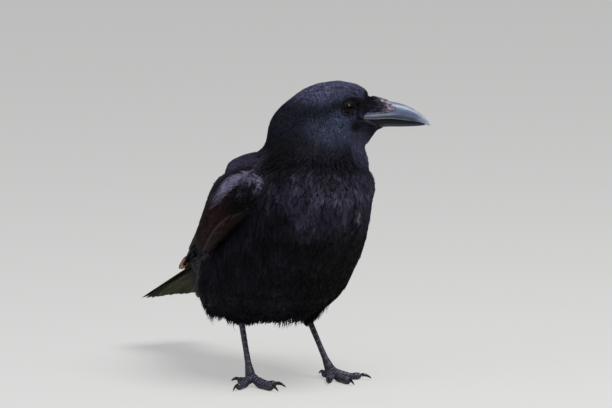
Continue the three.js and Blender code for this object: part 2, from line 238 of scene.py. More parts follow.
def skin_depth(places):
    """The coat's depth over body and wings, for the one skin under both."""
    share = step(off_wings(places) / MM, 3, 1)
    return coat_depth(places) * (1 - share) + COAT_DEPTH["wing"] * share


# The colours of the coat, which the skin under it shares: deep black below, partly painted shade
# under the body; greyer and a little violet above, with lilac grey on the crown and throat and blue
# on the cheek as a painted sheen, the crown's grey a painted highlight from above; black before the
# eye, with painted shade in the groove where the bristles start; and brown on the nostril bristles,
# behind the ear and over the mantle.
BELLY_BLACK_AND_SHADE, BREAST_BLACK, BREAST_SHEEN_VIOLET = "#070707", "#151418", "#302e3b"
NECK_BLACK, HEAD_VIOLET, CROWN_HIGHLIGHT_GREY, CHEEK_SHEEN_BLUE = "#21202b", "#151826", "#54556f", "#434a61"
LORE_BLACK_AND_GROOVE_SHADE, BRISTLE_BROWN, EAR_BROWN, MANTLE_BROWN = "#060608", "#857a86", "#463c40", "#463f50"
THROAT_SHEEN_GREY, NAPE_BLACK = "#575873", "#121117"


def near(rows, middle, reach):
    """1 at the middle of a soft patch in mm, 0 outside its reach."""
    off = (rows - np.array(middle, float)) / np.array(reach, float)
    return step(np.linalg.norm(off, axis=1), 1.0, 0.35)


def dye_and_painted_light(places):
    """The coat's colour and painted light at places on the bird, each share laid over the ones before it.

    Patches on the face are in mm ahead, aside and up from the head's centre, the rest from the feet.
    """
    q, ahead, right, level = measures(places)
    on_face = np.stack([ahead, np.abs(right), level], 1)
    both = np.stack([np.abs(q[:, 0]), q[:, 1], q[:, 2]], 1)
    colour = np.tile(dyed(BELLY_BLACK_AND_SHADE), (len(places), 1))
    # painted shade: the black is darker low down, under the body, and lighter higher up
    for code, share in ((BREAST_BLACK, step(q[:, 2], 92, 172)),
                        # painted sheen: violet over the upper breast
                        (BREAST_SHEEN_VIOLET, step(q[:, 2], 145, 182) * step(q[:, 1], 10, -40)),
                        (NECK_BLACK, step(level, -60, -42)),
                        (HEAD_VIOLET, step(level, -34, -20)),
                        (NAPE_BLACK, step(-ahead, 34, 52) * step(-level, 12, 26)),
                        (MANTLE_BROWN, step(q[:, 2], 150, 178) * step(q[:, 1], -44, -31)
                         * step(q[:, 2], 214, 205)),
                        # painted sheen: blue on the cheek
                        (CHEEK_SHEEN_BLUE, near(on_face, (-10, 22, -15), (36, 20, 19))),
                        # painted highlight: the crown lighter where the light falls from above
                        (CROWN_HIGHLIGHT_GREY, step(level, 2, 15)),
                        # painted sheen: lilac grey on the throat
                        (THROAT_SHEEN_GREY, near(on_face, (8, 6, -32), (18, 20, 17))),
                        (EAR_BROWN, near(on_face, (-27, 24, -26), (3.5, 9, 8))),
                        # painted sheen: violet on the upper breast by the shoulders
                        (BREAST_SHEEN_VIOLET, near(both, (38, -60, 178), (16, 22, 14))),
                        (BRISTLE_BROWN, step(ahead, 17, 21) * step(level, -14, -10)),
                        (LORE_BLACK_AND_GROOVE_SHADE, near(on_face, (9, 14, 1), (9, 9, 6.5))),
                        (LORE_BLACK_AND_GROOVE_SHADE, near(on_face, (8, 14, -15), (8, 9, 6))),
                        # painted shade in the groove between the forehead and the nostril bristles
                        (LORE_BLACK_AND_GROOVE_SHADE, step(ahead, 12.8, 14.2) * step(ahead, 16.6, 15.8)
                         * step(level, 1, 3)),
                        (LORE_BLACK_AND_GROOVE_SHADE, near(on_face, (6, 16, 6.5), (12, 9, 2.6)))):
        colour = colour + (dyed(code) - colour) * share[:, None]
    return colour


shrunk(skin_mesh, skin_depth)
# Bare skin is matt and takes on the colour of the feathers over it, but darker. Its pores are drawn
# about 1 mm apart, coarser than real ones, so that they show.
skin_material, skin_tree, skin_shader = new_material("dark bird skin", Roughness=0.7,
                                                     Specular_IOR_Level=0.04)
skin_colour = add_node(skin_tree, "ShaderNodeAttribute", attribute_name="dye_and_painted_light")
skin_spot = add_node(skin_tree, "ShaderNodeTexCoord")
pores = add_node(skin_tree, "ShaderNodeTexNoise",
                 {"Vector": skin_spot.outputs["Object"], "Scale": 900.0, "Detail": 2.0})
darker = add_node(skin_tree, "ShaderNodeVectorMath", {0: skin_colour.outputs["Color"], "Scale": 0.45},
                  operation="SCALE")
dimples = add_node(skin_tree, "ShaderNodeBump",
                   {"Height": pores.outputs["Fac"], "Strength": 0.3, "Distance": 0.5 * MM})
skin_tree.links.new(darker.outputs["Vector"], skin_shader.inputs["Base Color"])
skin_tree.links.new(dimples.outputs["Normal"], skin_shader.inputs["Normal"])


def tint(mesh, colours):
    """Gives a mesh's points their colours, which its material reads."""
    layer = mesh.attributes.new("dye_and_painted_light", "FLOAT_COLOR", "POINT")
    layer.data.foreach_set("color", np.concatenate([colours, np.ones((len(colours), 1))], 1).ravel())


tint(skin_mesh, dye_and_painted_light(numbers(skin_mesh.vertices, "co")))
smooth(skin_mesh)
skin = show("skin", skin_mesh, skin_material, FLESH)

# The skin is unwrapped, and each feather later takes the small patch of that map under its root.
bpy.context.view_layer.objects.active = skin
bpy.ops.object.mode_set(mode="EDIT")
bpy.ops.mesh.select_all(action="SELECT")
bpy.ops.uv.smart_project(angle_limit=1.15, island_margin=0.002)
bpy.ops.object.mode_set(mode="OBJECT")
skin_mesh.uv_layers.active.name = "OFBake"
skin_mesh.calc_loop_triangles()
skin_map = numbers(skin_mesh.uv_layers["OFBake"].uv, "vector", 2)
skin_corners = numbers(skin_mesh.loop_triangles, "loops", 3, np.int32)
skin_form = Form(skin_mesh)


def skin_patch(places):
    """Where the skin's own unwrap has the points nearest to these places."""
    found = [skin_form.tree.find_nearest(p)[2] for p in places.tolist()]
    return skin_map[skin_corners[found]].mean(1)


# ---- Head feathers and nostril bristles ----
# Each feather is a soft vane of fine barbs fanned from a shaft, rooted in the skin. On the head they
# are hair-fine and short, smallest round the eye and the root of the bill. Over the nostrils they
# turn and run forward as bristles.
def worked(vane):
    """A finished vane's points and its triangles, which point outward."""
    bmesh.ops.triangulate(vane, faces=vane.faces)
    bmesh.ops.recalc_face_normals(vane, faces=vane.faces)
    vane.verts.index_update()
    points = np.array([v.co[:] for v in vane.verts])
    triangles = np.array([[v.index for v in f.verts] for f in vane.faces])
    vane.free()
    return points, triangles


def spike(vane):
    """Adds one three-sided barb to a vane, from z -0.5 to 0.5, and returns its points."""
    known = set(vane.verts)
    bmesh.ops.create_cone(vane, cap_ends=True, segments=3, radius1=1, radius2=0, depth=1)
    return [v for v in vane.verts if v not in known]


def barbs(count, width, round_end, ragged, ridge):
    """One vane: x across from -1 to 1, y along from root to tip, z up, as points and triangles."""
    vane = bmesh.new()
    for k in range(count):
        aside = 2 * k / (count - 1) - 1 if count > 1 else 0.0
        end = 1 - round_end * aside ** 2 - ragged * dice.random()
        sway = (dice.random() - 0.5) * 0.8 * ragged
        known = set(vane.verts)
        long_edges = {e for v in spike(vane) for e in v.link_edges
                      if abs(e.verts[0].co.z - e.verts[1].co.z) > 0.5}
        bmesh.ops.subdivide_edges(vane, edges=list(long_edges), cuts=1)
        for v in [v for v in vane.verts if v not in known]:
            along = v.co.z + 0.5
            corner = Vector((v.co.x, v.co.y))
            if corner.length > 1e-6:
                corner.normalize()
            across = corner.x / 0.866
            high = (corner.y + 0.5) / 1.5 if corner.length else 0.3
            bulk = min(1, 0.45 + 2.2 * along) * (1 - along ** 3)
            middle = aside * (1 - width) * (0.3 + 0.7 * min(1, along / 0.55)) + sway * along ** 2
            v.co = Vector((middle + across * width * bulk, along * end, high * ridge * bulk))
    return worked(vane)


def plate(columns, rows, tip, ragged, quill, outer=1.0, thick=0.05, fringe=0):
    """A flat vane with a rounded end, a raised quill and a fringe, in the same measures as barbs()."""
    vane = bmesh.new()
    bmesh.ops.create_grid(vane, x_segments=columns, y_segments=rows, size=1)
    ends = {round(x, 3): 1 - ragged * dice.random() for x in np.linspace(-1, 1, columns + 1)}
    nicks = dice.random(rows + 1) < 0.3
    for v in vane.verts:
        across, along = v.co.x, (v.co.y + 1) / 2
        edge = abs(across) > 0.99
        bulk = min(1, 0.35 + 2.4 * along) * (1 - 0.35 * along ** 6)
        if edge and nicks[round(along * rows)] and 0 < along < 1:
            bulk *= 1 - 0.5 * ragged
        reach = 1 - tip * abs(across) ** 2
        end = ends[round(across, 3)] if along > 0.99 else 1
        high = quill * max(0, 1 - abs(across) * 3.2) * (1 - along) - 0.12 * across ** 2
        wide = across * bulk * (outer if across < 0 else 1)
        v.co = Vector((wide, along * reach * end, high))
    bmesh.ops.solidify(vane, geom=list(vane.faces), thickness=thick)
    for k in range(fringe):
        aside = (k + dice.random()) / fringe * 1.7 - 0.85
        for v in spike(vane):
            along = v.co.z + 0.5
            start = 0.55 - 0.2 * abs(aside)
            end = 1.12 - tip * aside ** 2 - 0.16 * dice.random()
            width = 0.085 if along < 0.5 else 0.0
            v.co = Vector((aside * (0.9 + 0.1 * along) + v.co.x * width, start + (end - start) * along,
                           0.05 + 0.06 * v.co.y - 0.12 * aside ** 2))
    return worked(vane)


def lie(at, facing):
    """The way the plumage lies at places on the bird, before it is laid flat.

    On the head it runs back and then down, on the body down and back, and over the nostrils forward.
    """
    q, ahead, _, level = measures(at)
    rear = step(facing[:, 1], -0.2, 0.9)
    rump = step(q[:, 1], 60, 110)
    body = np.stack([0 * rear, 0.2 + 0.6 * rear + 1.0 * rump, -1 + 0.5 * rump], 1)
    turned_down = step(-ahead, 2, 24)
    under = step(-level, 8, 22)
    fall = 0.12 + 0.9 * turned_down + 0.75 * under
    head = np.stack([0 * fall, 0 * fall, -fall], 1)
    head = -np.array(HEAD_AHEAD)[None] * (1 - 0.9 * turned_down - 0.4 * under)[:, None] + head
    high = step(level, -42, -16)[:, None]
    whole = unit(body) * (1 - high) + unit(head) * high
    forward = step(ahead, 14.6, 15.4) * step(level, 2, 4) + step(ahead, 6, 8) * step(level, 4, 2)
    forward = (forward * step(level, -12, -9))[:, None]
    bristly = np.array(HEAD_AHEAD)[None] + np.array((0, 0, -0.14))
    return unit(whole) * (1 - forward) + bristly * forward


def lay(form, roots, lengths, steps, way=lie, cling=1.0, stray=0.0):
    """Shafts from the roots down the lie of the plumage, and the way each faces along them."""
    at, facing, _ = form.nearest(roots)
    shafts, facings = [at], [facing]
    aside = dice.normal(0, 1, len(at))[:, None] * stray
    cling = np.broadcast_to(cling, len(at))[:, None]
    for _ in range(steps):
        heading = way(at, facing)
        heading = unit(heading - facing * (heading * facing).sum(1, keepdims=True) * cling)
        heading = unit(heading + aside * np.cross(facing, heading))
        ahead = at + heading * (np.broadcast_to(lengths, len(at)) / steps)[:, None]
        on, on_facing, _ = form.nearest(ahead)
        at = ahead + (on - ahead) * cling
        facing = unit(facing + (on_facing - facing) * cling)
        shafts.append(at)
        facings.append(facing)
    return np.stack(shafts, 1), np.stack(facings, 1)


def dress(vanes, shafts, facings, half, depth, lift, droop=0.02, thick=None, roll=0.0, layer=0.0):
    """Vanes bent along their shafts: points, triangles, place on the vane, and feather number.

    A root sinks by the coat's depth into the flesh, and the tip lifts off the form. All are in metres.
    """
    steps = shafts.shape[1] - 1
    choice = dice.integers(0, len(vanes), len(shafts))
    thick = half if thick is None else thick
    out, base = [], 0
    for k, (co, triangles) in enumerate(vanes):
        which = np.nonzero(choice == k)[0]
        if not len(which):
            continue
        y = np.clip(co[:, 1], 0, 1) * steps
        low = np.minimum(y.astype(int), steps - 1)
        part = (y - low)[None, :, None]
        a, b = shafts[which][:, low], shafts[which][:, low + 1]
        spot = a + (b - a) * part
        up = unit(facings[which][:, low] * (1 - part) + facings[which][:, low + 1] * part)
        side = unit(np.cross(b - a, up))
        turn = np.broadcast_to(roll, len(shafts))[which][:, None, None]
        side, up = side * np.cos(turn) + up * np.sin(turn), up * np.cos(turn) - side * np.sin(turn)
        x = co[:, 0][None, :, None]
        rise = step(co[:, 1], 0, 0.6)[None, :, None]
        h, d, l, t, base_high = (np.broadcast_to(v, len(shafts))[which][:, None, None]
                                 for v in (half, depth, lift, thick, layer))
        high = base_high - (d + 0.4 * MM) * (1 - rise) + l * co[:, 1][None, :, None] ** 2
        high = high + co[:, 2][None, :, None] * t - droop * h * h / MM * x * x
        points = spot + side * x * h + up * high
        own = np.repeat(which, len(co))
        vane = np.tile(np.stack([(co[:, 0] + 0.3 * co[:, 2]) / 2 + 0.5, co[:, 1]], 1), (len(which), 1))
        faces = (triangles[None] + (np.arange(len(which)) * len(co))[:, None, None]).reshape(-1, 3) + base
        out.append((points.reshape(-1, 3), faces, vane, own))
        base += len(points) * len(co)
    return [np.concatenate(column) for column in zip(*out)]


# the most triangles in one piece, and the share of the skin's map that one feather takes
MOST_FACES = 185000
PATCH = 0.003


def coat(name, laid, roots, colours, material, slot, replaced=(), rims=False):
    """Joins laid vanes into pieces from front to back, with their bake map on the skin's unwrap.

    The colours are one row for each feather or one for each point.
    """
    points, faces, vane, own = laid
    # thousands of vanes go into a mesh at once, as adding them one by one would take too long
    parts = math.ceil(len(faces) / MOST_FACES)
    order = np.argsort(np.argsort(roots[:, 1], kind="stable"), kind="stable") * parts // len(roots)
    for part in range(parts):
        chosen = faces[order[own[faces[:, 0]]] == part]
        kept, corners = np.unique(chosen, return_inverse=True)
        corners = corners.ravel()
        mesh = bpy.data.meshes.new(name)
        mesh.vertices.add(len(kept))
        mesh.vertices.foreach_set("co", points[kept].ravel())
        mesh.loops.add(len(corners))
        mesh.loops.foreach_set("vertex_index", corners)
        mesh.polygons.add(len(chosen))
        mesh.polygons.foreach_set("loop_start", np.arange(0, len(corners), 3))
        mesh.update(calc_edges=True)
        smooth(mesh)
        patch = (skin_patch(roots)[own] + (vane - 0.5) * PATCH)[kept]
        mesh.uv_layers.new(name="OFBake").uv.foreach_set("vector", patch[corners].ravel())
        mesh.uv_layers.new(name="Vane").uv.foreach_set("vector", vane[kept][corners].ravel())
        mesh.uv_layers["OFBake"].active = True
        if rims:
            mesh.set_sharp_from_angle(angle=math.radians(50))
        tint(mesh, (colours[own] if len(colours) == len(roots) else colours)[kept])
        show(name if parts == 1 else f"{name}_{part + 1}", mesh, material, replaced)


def thinned(places, spacing):
    """One place in each cell of a grid, so that none crowd."""
    cell = np.floor(places / spacing).astype(np.int64)
    key = cell[:, 0] * 73856093 ^ cell[:, 1] * 19349663 ^ cell[:, 2] * 83492791
    return places[np.unique(key, return_index=True)[1]]


def uneven(places, wide, long, share):
    """Brightness round 1 in soft streaks along the lie: back over the head, down the body."""
    q, ahead, right, level = measures(places)
    head = np.stack([right / wide, level / wide, ahead / long], 1)
    body = np.stack([q[:, 0] / wide, q[:, 1] / wide, q[:, 2] / long + 9], 1)
    rows = [(noise.noise(a), noise.noise(b)) for a, b in zip(head.tolist(), body.tolist())]
    high = step(level, -26, -10)
    rows = np.array(rows)
    streak = rows[:, 0] * high + rows[:, 1] * (1 - high)
    return np.clip(1 + share * 2.2 * streak + dice.normal(0, 0.3 * share, len(places)), 0.15, 4)[:, None]


# mm from barb to barb
BARB_GAP = 0.5
FEATHER_SHEEN = "#bdbce0"


def plumage_material(name, roughness, gloss, sheen, long=20, rim=None, streak=0.0):
    """Black feather: satin keratin that darkens to the root, with a faint violet sheen.

    Its barbs slant from the shaft. Real ones are about 0.05 mm apart, and these are drawn ten times
    as wide so that they show. Soft clouds about 3 mm wide break up the tone.
    """
    material, tree, shader = new_material(name, Roughness=roughness, Specular_IOR_Level=gloss,
                                          Sheen_Weight=sheen, Sheen_Roughness=0.35, IOR=1.5)
    shader.inputs["Sheen Tint"].default_value = linear(FEATHER_SHEEN)
    own = add_node(tree, "ShaderNodeAttribute", attribute_name="dye_and_painted_light")
    vane = add_node(tree, "ShaderNodeUVMap", uv_map="Vane")
    split = add_node(tree, "ShaderNodeSeparateXYZ", {0: vane.outputs["UV"]})
    aside = add_node(tree, "ShaderNodeMath", {0: split.outputs["X"], 1: 0.5}, operation="SUBTRACT")
    across = add_node(tree, "ShaderNodeMath", {0: aside.outputs[0]}, operation="ABSOLUTE")
    slant = add_node(tree, "ShaderNodeMath", {0: across.outputs[0], 1: -0.55, 2: split.outputs["Y"]},
                     operation="MULTIPLY_ADD")
    beat = add_node(tree, "ShaderNodeMath", {0: slant.outputs[0], 1: 2 * math.pi * long / BARB_GAP},
                    operation="MULTIPLY")
    wave = add_node(tree, "ShaderNodeMath", {0: beat.outputs[0]}, operation="SINE")
    barbed = add_node(tree, "ShaderNodeBump",
                      {"Height": wave.outputs[0], "Strength": 0.25, "Distance": 0.1 * MM})
    tree.links.new(barbed.outputs["Normal"], shader.inputs["Normal"])

    tip = add_node(tree, "ShaderNodeMapRange",
                   {"Value": split.outputs["Y"], "From Min": 0.3, "From Max": 1.0,
                    "To Min": 0.75, "To Max": 1.2})
    spot = add_node(tree, "ShaderNodeTexCoord")
    patchy = add_node(tree, "ShaderNodeTexNoise",
                      {"Vector": spot.outputs["Object"], "Scale": 330.0, "Detail": 3.0, "Roughness": 0.6})
    cloud = add_node(tree, "ShaderNodeMapRange",
                     {"Value": patchy.outputs["Fac"], "From Min": 0.3, "From Max": 0.7,
                      "To Min": 0.7, "To Max": 1.3})
    feather = add_node(tree, "ShaderNodeMath", {0: own.outputs["Fac"], 1: 900.0}, operation="MULTIPLY")
    fibres = add_node(tree, "ShaderNodeMapping", {"Vector": vane.outputs["UV"], "Scale": (13, 1.3, 1)})
    fibre = add_node(tree, "ShaderNodeTexNoise",
                     {"Vector": fibres.outputs[0], "W": feather.outputs[0], "Scale": 1.0, "Detail": 2.0},
                     noise_dimensions="4D")
    streaks = add_node(tree, "ShaderNodeMapRange",
                       {"Value": fibre.outputs["Fac"], "From Min": 0.35, "From Max": 0.65,
                        "To Min": 1 - streak, "To Max": 1 + streak})
    level = add_node(tree, "ShaderNodeMath", {0: tip.outputs[0], 1: cloud.outputs[0]},
                     operation="MULTIPLY")
    level = add_node(tree, "ShaderNodeMath", {0: level.outputs[0], 1: streaks.outputs[0]},
                     operation="MULTIPLY")
    colour = add_node(tree, "ShaderNodeVectorMath", {0: own.outputs["Color"], "Scale": level.outputs[0]},
                      operation="SCALE").outputs["Vector"]
    if rim:
        worn = add_node(tree, "ShaderNodeMapRange",
                        {"Value": across.outputs[0], "From Min": 0.36, "From Max": 0.5,
                         "To Min": 0.0, "To Max": 0.85})
        colour = add_node(tree, "ShaderNodeMix", {0: worn.outputs[0], 6: colour, 7: linear(rim)},
                          data_type="RGBA").outputs[2]
    tree.links.new(colour, shader.inputs["Base Color"])
    return material


# The head's feathers have the most gloss and sheen.
head_plumage = plumage_material("glossy black head feathers", 0.5, 0.2, 0.05, long=8)
# how far an eye is turned ahead, beside one part straight out to its side
EYE_AHEAD = 0.42


def clear_of_eyes(shafts, gap):
    """Which shafts keep off both eyes and their bare lids."""
    keep = np.ones(len(shafts), bool)
    for name, side in (("eye_right", 1), ("eye_left", -1)):
        out = np.array((side * HEAD_RIGHT + EYE_AHEAD * HEAD_AHEAD).normalized())
        rel = (shafts - np.array(eye_at[name])) / MM
        beside = rel - (rel @ out)[..., None] * out
        drop = np.where(beside[..., 2] < 0, 0.66, 1.0)
        beside = beside * np.stack([np.ones_like(drop), np.ones_like(drop), drop], -1)
        off = np.linalg.norm(beside, axis=-1) + 50 * (rel @ out < 0)
        keep &= off.min(1) > gap
    return keep


# The shapes of all the soft feathers, a few of each so that none repeats plainly.
hair = [barbs(1, 1.0, 0, 0, ridge=0.5)]
hackle = [barbs(3, 0.4, 0.1, 0.3, ridge=0.22) for _ in range(5)]
soft_vane = [plate(4, 3, 0.52, 0.1, quill=0.03, fringe=7) for _ in range(7)]
loose_vane = [barbs(7, 0.17, 0.25, 0.45, ridge=0.12) for _ in range(6)]

# Places so dense that a grid's cells are seldom empty, with how far back and how high each lies. The
# front of the head takes the finest grid, and the hood's lower edge is broken.
face_form = Form(melted(("head", "neck", "bill_upper", "bill_lower"), 0.9 * MM, 3))
spots = bird_form.scatter(420000)
q, _, _, level = measures(spots)
rearward, tall = q[:, 1], q[:, 2]
hood = level + dice.normal(0, 3.5, len(level)) > -34
roots = np.concatenate([thinned(spots[hood & (rearward < -52)], 0.74 * MM),
                        thinned(spots[hood & (rearward >= -52)], 0.98 * MM)])
_, ahead, _, up = measures(roots)
fine = step(ahead, -16, 4)
bristle = step(ahead, 15, 16) * step(up, -7, -5.5)
# how far ahead the bristles end: furthest along the nostril, less toward the ridge and the lip
ends = 40 - np.where(up > -1, 0.95, 1.9) * np.abs(up + 1) ** 1.3 - 6 * dice.random(len(roots)) ** 2
length = (8.0 - 3.8 * fine + 8.5 * bristle) * (0.8 + 0.4 * dice.random(len(roots))) * MM
length = np.where(bristle > 0.5, np.minimum(length, (ends - ahead) * MM), length)
shafts, facings = lay(face_form, roots, length, 3, stray=0.09)
# none lies on the bare lids, on the line where the lie turns forward, or is a mere stub
keep = clear_of_eyes(shafts, 4.5) & ((ahead < 14.9) | (ahead > 15.4) | (up < 3)) & (length > 1.5 * MM)
keep &= (bristle < 0.5) | (ahead < ends - 3)
roots, shafts, facings, fine, bristle, ahead = (
    rows[keep] for rows in (roots, shafts, facings, fine, bristle, ahead))
half = (0.52 - 0.2 * fine + 0.06 * bristle) * MM
lift = dice.normal(0.1, 0.15, len(roots)) * MM + 0.3 * bristle * dice.random(len(roots)) * MM
laid = dress(hair, shafts, facings, half, coat_depth(roots), lift, 0)
# painted highlights: bristles lighter at random, and more toward their front ends
bristle_highlight = bristle * (dice.normal(0, 0.6, len(roots)).clip(-0.9, 1.6) + 1.2 * step(ahead, 21, 29))
shine = uneven(roots, 2.2, 9, 0.3) * (1 + bristle_highlight)[:, None]
coat("head_coat", laid, roots, dye_and_painted_light(roots) * shine, head_plumage, "plumage")

# ---- Neck hackles ----
# Hackles are long narrow feathers with the gloss of the head's. They hang from the skin of the neck,
# down over the shoulders and the top of the breast.
roots = thinned(spots[(level <= -20) & (level > -66)], 1.88 * MM)
low = step(-measures(roots)[3], 24, 60)
length = (12 + 8 * low) * (0.8 + 0.4 * dice.random(len(roots))) * MM
shafts, facings = lay(bird_form, roots, length, 4, stray=0.05)
laid = dress(hackle, shafts, facings, (0.65 + 1.0 * low) * MM, coat_depth(roots),
             dice.normal(0.2, 0.15, len(roots)) * MM)
coat("neck_coat", laid, roots, dye_and_painted_light(roots) * uneven(roots, 3, 18, 0.4), head_plumage, "plumage")

# ---- Breast, flank and back feathers ----
# Soft rounded contour feathers grow from the skin, lie over each other like roof slates, and run on
# over the fronts of the wings. They are duller than the head's, and a few on the breast are worn pale.
PALE_STREAK = "#6f6c7c"
body_plumage = plumage_material("soft black contour feathers", 0.5, 0.06, 0.03, long=22, streak=0.35)
# the upper edge of the folded wing, as an arc in mm from the feet, and the body feathers' own edge
# on the wing's side, as front to back and height
WING_ARC = ((48, -57, 174), (50, -46, 180), (53, -31, 183), (58, -17, 179), (61.5, -8, 173),
            (63.5, 5, 165), (65, 16, 153))
UNDER_WING = ((-60, 155), (-44, 155), (-6, 134), (37, 107), (38, 0))
roots = thinned(spots[(level <= -46) & (tall > 70)], 3.98 * MM)
q = measures(roots)[0]
over_front = ((q[:, 1] < -44) & (q[:, 2] < 166)) | ((q[:, 1] < -52) & (q[:, 2] < 181))
under_lobe = q[:, 2] < np.interp(q[:, 1], *zip(*UNDER_WING))
roots = roots[(off_wings(roots) > 0.8 * MM) | over_front | under_lobe]
q, _, _, up = measures(roots)
chest = step(-up, 50, 85)
length = (17 + 8 * chest) * (0.85 + 0.3 * dice.random(len(roots))) * MM
shafts, facings = lay(bird_form, roots, length, 4, stray=0.08)
half = (3.2 + 2.6 * chest) * (0.85 + 0.3 * dice.random(len(roots))) * MM
over_wing = 0.8 * step(off_wings(roots) / MM, 3, 0.5)
laid = dress(soft_vane, shafts, facings, half, coat_depth(roots), dice.normal(0.4, 0.3, len(roots)) * MM,
             roll=dice.normal(0, 0.1, len(roots)), layer=over_wing * MM)
blotches = uneven(roots, 12, 15, 0.45) * uneven(roots, 5, 8, 0.3)
# a pale streak down the left of the breast, and a fainter one higher on the right
pale = near(q, (19, -91, 167), (3.4, 9, 12)) + 0.25 * near(q, (-13, -94, 184), (5, 8, 9))
colours = dye_and_painted_light(roots) * blotches + pale[:, None] * dyed(PALE_STREAK)
coat("body_coat", laid, roots, colours, body_plumage, "plumage", rims=True)

# ---- Scapulars ----
# Scapulars are broad soft feathers of the shoulder. They grow from the mantle, above the arc of the
# wing's upper edge, and lie back over the top of the folded wing.
def off_line(places, line):
    """How far places on either side lie from a line of points in mm, and their share along it."""
    q = measures(places)[0]
    q[:, 0] = np.abs(q[:, 0])
    line = np.array(line, float)
    run = line[1:] - line[:-1]
    along = (((q[:, None] - line[:-1]) * run).sum(2) / (run * run).sum(1)).clip(0, 1)
    off = np.linalg.norm(line[:-1] + along[..., None] * run - q[:, None], axis=2)
    closest = off.argmin(1)
    rows = np.arange(len(q))
    return off[rows, closest], (closest + along[rows, closest]) / len(run)


roots = thinned(spots[(level <= -44) & (tall > 150)], 3.6 * MM)
q = measures(roots)[0]
roots = roots[(q[:, 1] > -38) & (q[:, 1] < 30) & (np.abs(q[:, 0]) > 18) & (q[:, 2] > 168)]
from_arc, _ = off_line(roots, WING_ARC)
_, arc_y, arc_z = np.array(WING_ARC).T
over_arc = measures(roots)[0][:, 2] > np.interp(measures(roots)[0][:, 1], arc_y, arc_z) + 4
roots = roots[(from_arc > 8) & over_arc]


def over_the_wing(at, facing):
    """The way scapulars lie: back, outward and down from the spine."""
    q = measures(at)[0]
    return np.stack([0.1 * np.sign(q[:, 0]), 1.0 + 0 * q[:, 0], -0.6 + 0 * q[:, 0]], 1)


shafts, facings = lay(bird_form, roots, 18 * MM, 5, way=over_the_wing, stray=0.1, cling=0.95)
laid = dress(soft_vane, shafts, facings, 3.8 * MM, 2.5 * MM, 0.4 * MM, layer=0.8 * MM,
             roll=dice.normal(0, 0.1, len(roots)))
from_arc, _ = off_line(roots, WING_ARC)
# painted shade in the crease above the wing's arc: scapulars near it are darker, down to 0.3
shade = (0.3 + 0.7 * step(from_arc, 10, 18))[:, None]
coat("scapulars", laid, roots, dye_and_painted_light(roots) * uneven(roots, 8, 14, 0.2) * shade, body_plumage, "plumage",
     rims=True)

# ---- Belly feathers ----
# The belly's feathers are loose, dull and downy, and hang in a ragged fringe between and behind the
# legs. Each leg wears a short cuff of narrow ones where the shank leaves the thigh.
CUFF_BROWN = "#15100f"
CUFFS = ((-32.3, 26, 57), (33, 28, 53))
belly_plumage = plumage_material("dull black down and belly feathers", 0.65, 0.05, 0.02, long=22)
roots = thinned(spots[tall <= 76], 3.7 * MM)
length = 20 * (0.8 + 0.4 * dice.random(len(roots))) * MM
shafts, facings = lay(bird_form, roots, length, 3, stray=0.12, cling=0.85)
half = 3.6 * (0.85 + 0.3 * dice.random(len(roots))) * MM
laid = dress(loose_vane, shafts, facings, half, coat_depth(roots),
             dice.normal(0.4, 0.5, len(roots)) * MM)
# painted light: loose belly feathers coloured 1.7 times lighter against the shade between their barbs
lots = [(laid, roots, 1.7 * dye_and_painted_light(roots) * uneven(roots, 6, 10, 0.4))]


def hang(at, facing):
    """The way loose feathers hang: straight down and a little back."""
    return np.broadcast_to(np.array((0.0, 0.3, -1.0)), at.shape)


# the fringe: spacing, length and half width of its loose vanes and of its hairs, in tufts that are
# longest behind the right leg and between the legs
for vanes, gap, long, half in ((loose_vane, 4.4, 11, 2.2), (hair, 2.2, 9, 0.4)):
    roots = thinned(spots[(tall < 66) & (tall > 56)], gap * MM)
    q = measures(roots)[0]
    tufts = (0.75 + 2.0 * np.array([noise.noise(p) for p in (q / 13).tolist()])).clip(0.25, 1.6)
    tufts = tufts + 0.7 * near(q, (-45, 49, 58), (16, 24, 30)) + 0.5 * near(q, (0, 12, 56), (24, 30, 30))
    length = long * tufts * (0.6 + 0.6 * dice.random(len(roots))) * MM
    cling = 0.08 + 0.3 * dice.random(len(roots))
    shafts, facings = lay(bird_form, roots, length, 3, way=hang, stray=0.25, cling=cling)
    laid = dress(vanes, shafts, facings, half * MM, coat_depth(roots), 0.3 * MM)
    # painted light: the fringe coloured 1.5 times lighter against the same shade
    lots.append((laid, roots, 1.5 * dye_and_painted_light(roots) * uneven(roots, 6, 10, 0.4)))

for cuff in CUFFS:
    around = np.linalg.norm((measures(spots)[0] - np.array(cuff)) / np.array((1, 1, 1.5)), axis=1)
    roots = thinned(spots[around < 12], 1.6 * MM)
    length = 11 * (0.7 + 0.5 * dice.random(len(roots))) * MM
    shafts, facings = lay(bird_form, roots, length, 3, way=hang, stray=0.12, cling=0.4)
    laid = dress(hackle, shafts, facings, 1.0 * MM, 1.5 * MM, 0.2 * MM)
    lots.append((laid, roots, np.tile(dyed(CUFF_BROWN), (len(roots), 1))))


def together(sets):
    """Several lots of laid vanes, with their roots and colours, as one lot."""
    counts = np.cumsum([0] + [len(laid[0]) for laid, *_ in sets])
    feathers = np.cumsum([0] + [len(roots) for _, roots, _ in sets])
    laid = [np.concatenate([laid[0] for laid, *_ in sets]),
            np.concatenate([laid[1] + counts[k] for k, (laid, *_) in enumerate(sets)]),
            np.concatenate([laid[2] for laid, *_ in sets]),
            np.concatenate([laid[3] + feathers[k] for k, (laid, *_) in enumerate(sets)])]
    return laid, np.concatenate([roots for _, roots, _ in sets]), np.concatenate([c for *_, c in sets])


coat("belly_coat", *together(lots), belly_plumage, "plumage")

# ---- Rump feathers ----
# Rump and rear flank feathers are long soft vanes. They grow from the skin behind the thighs, and
# reach back under the folded wings and over the root of the tail.
roots = thinned(spots[(tall > 78) & (tall < 135) & (rearward > 22)], 5.0 * MM)
roots = roots[off_wings(roots) > 0.5 * MM]


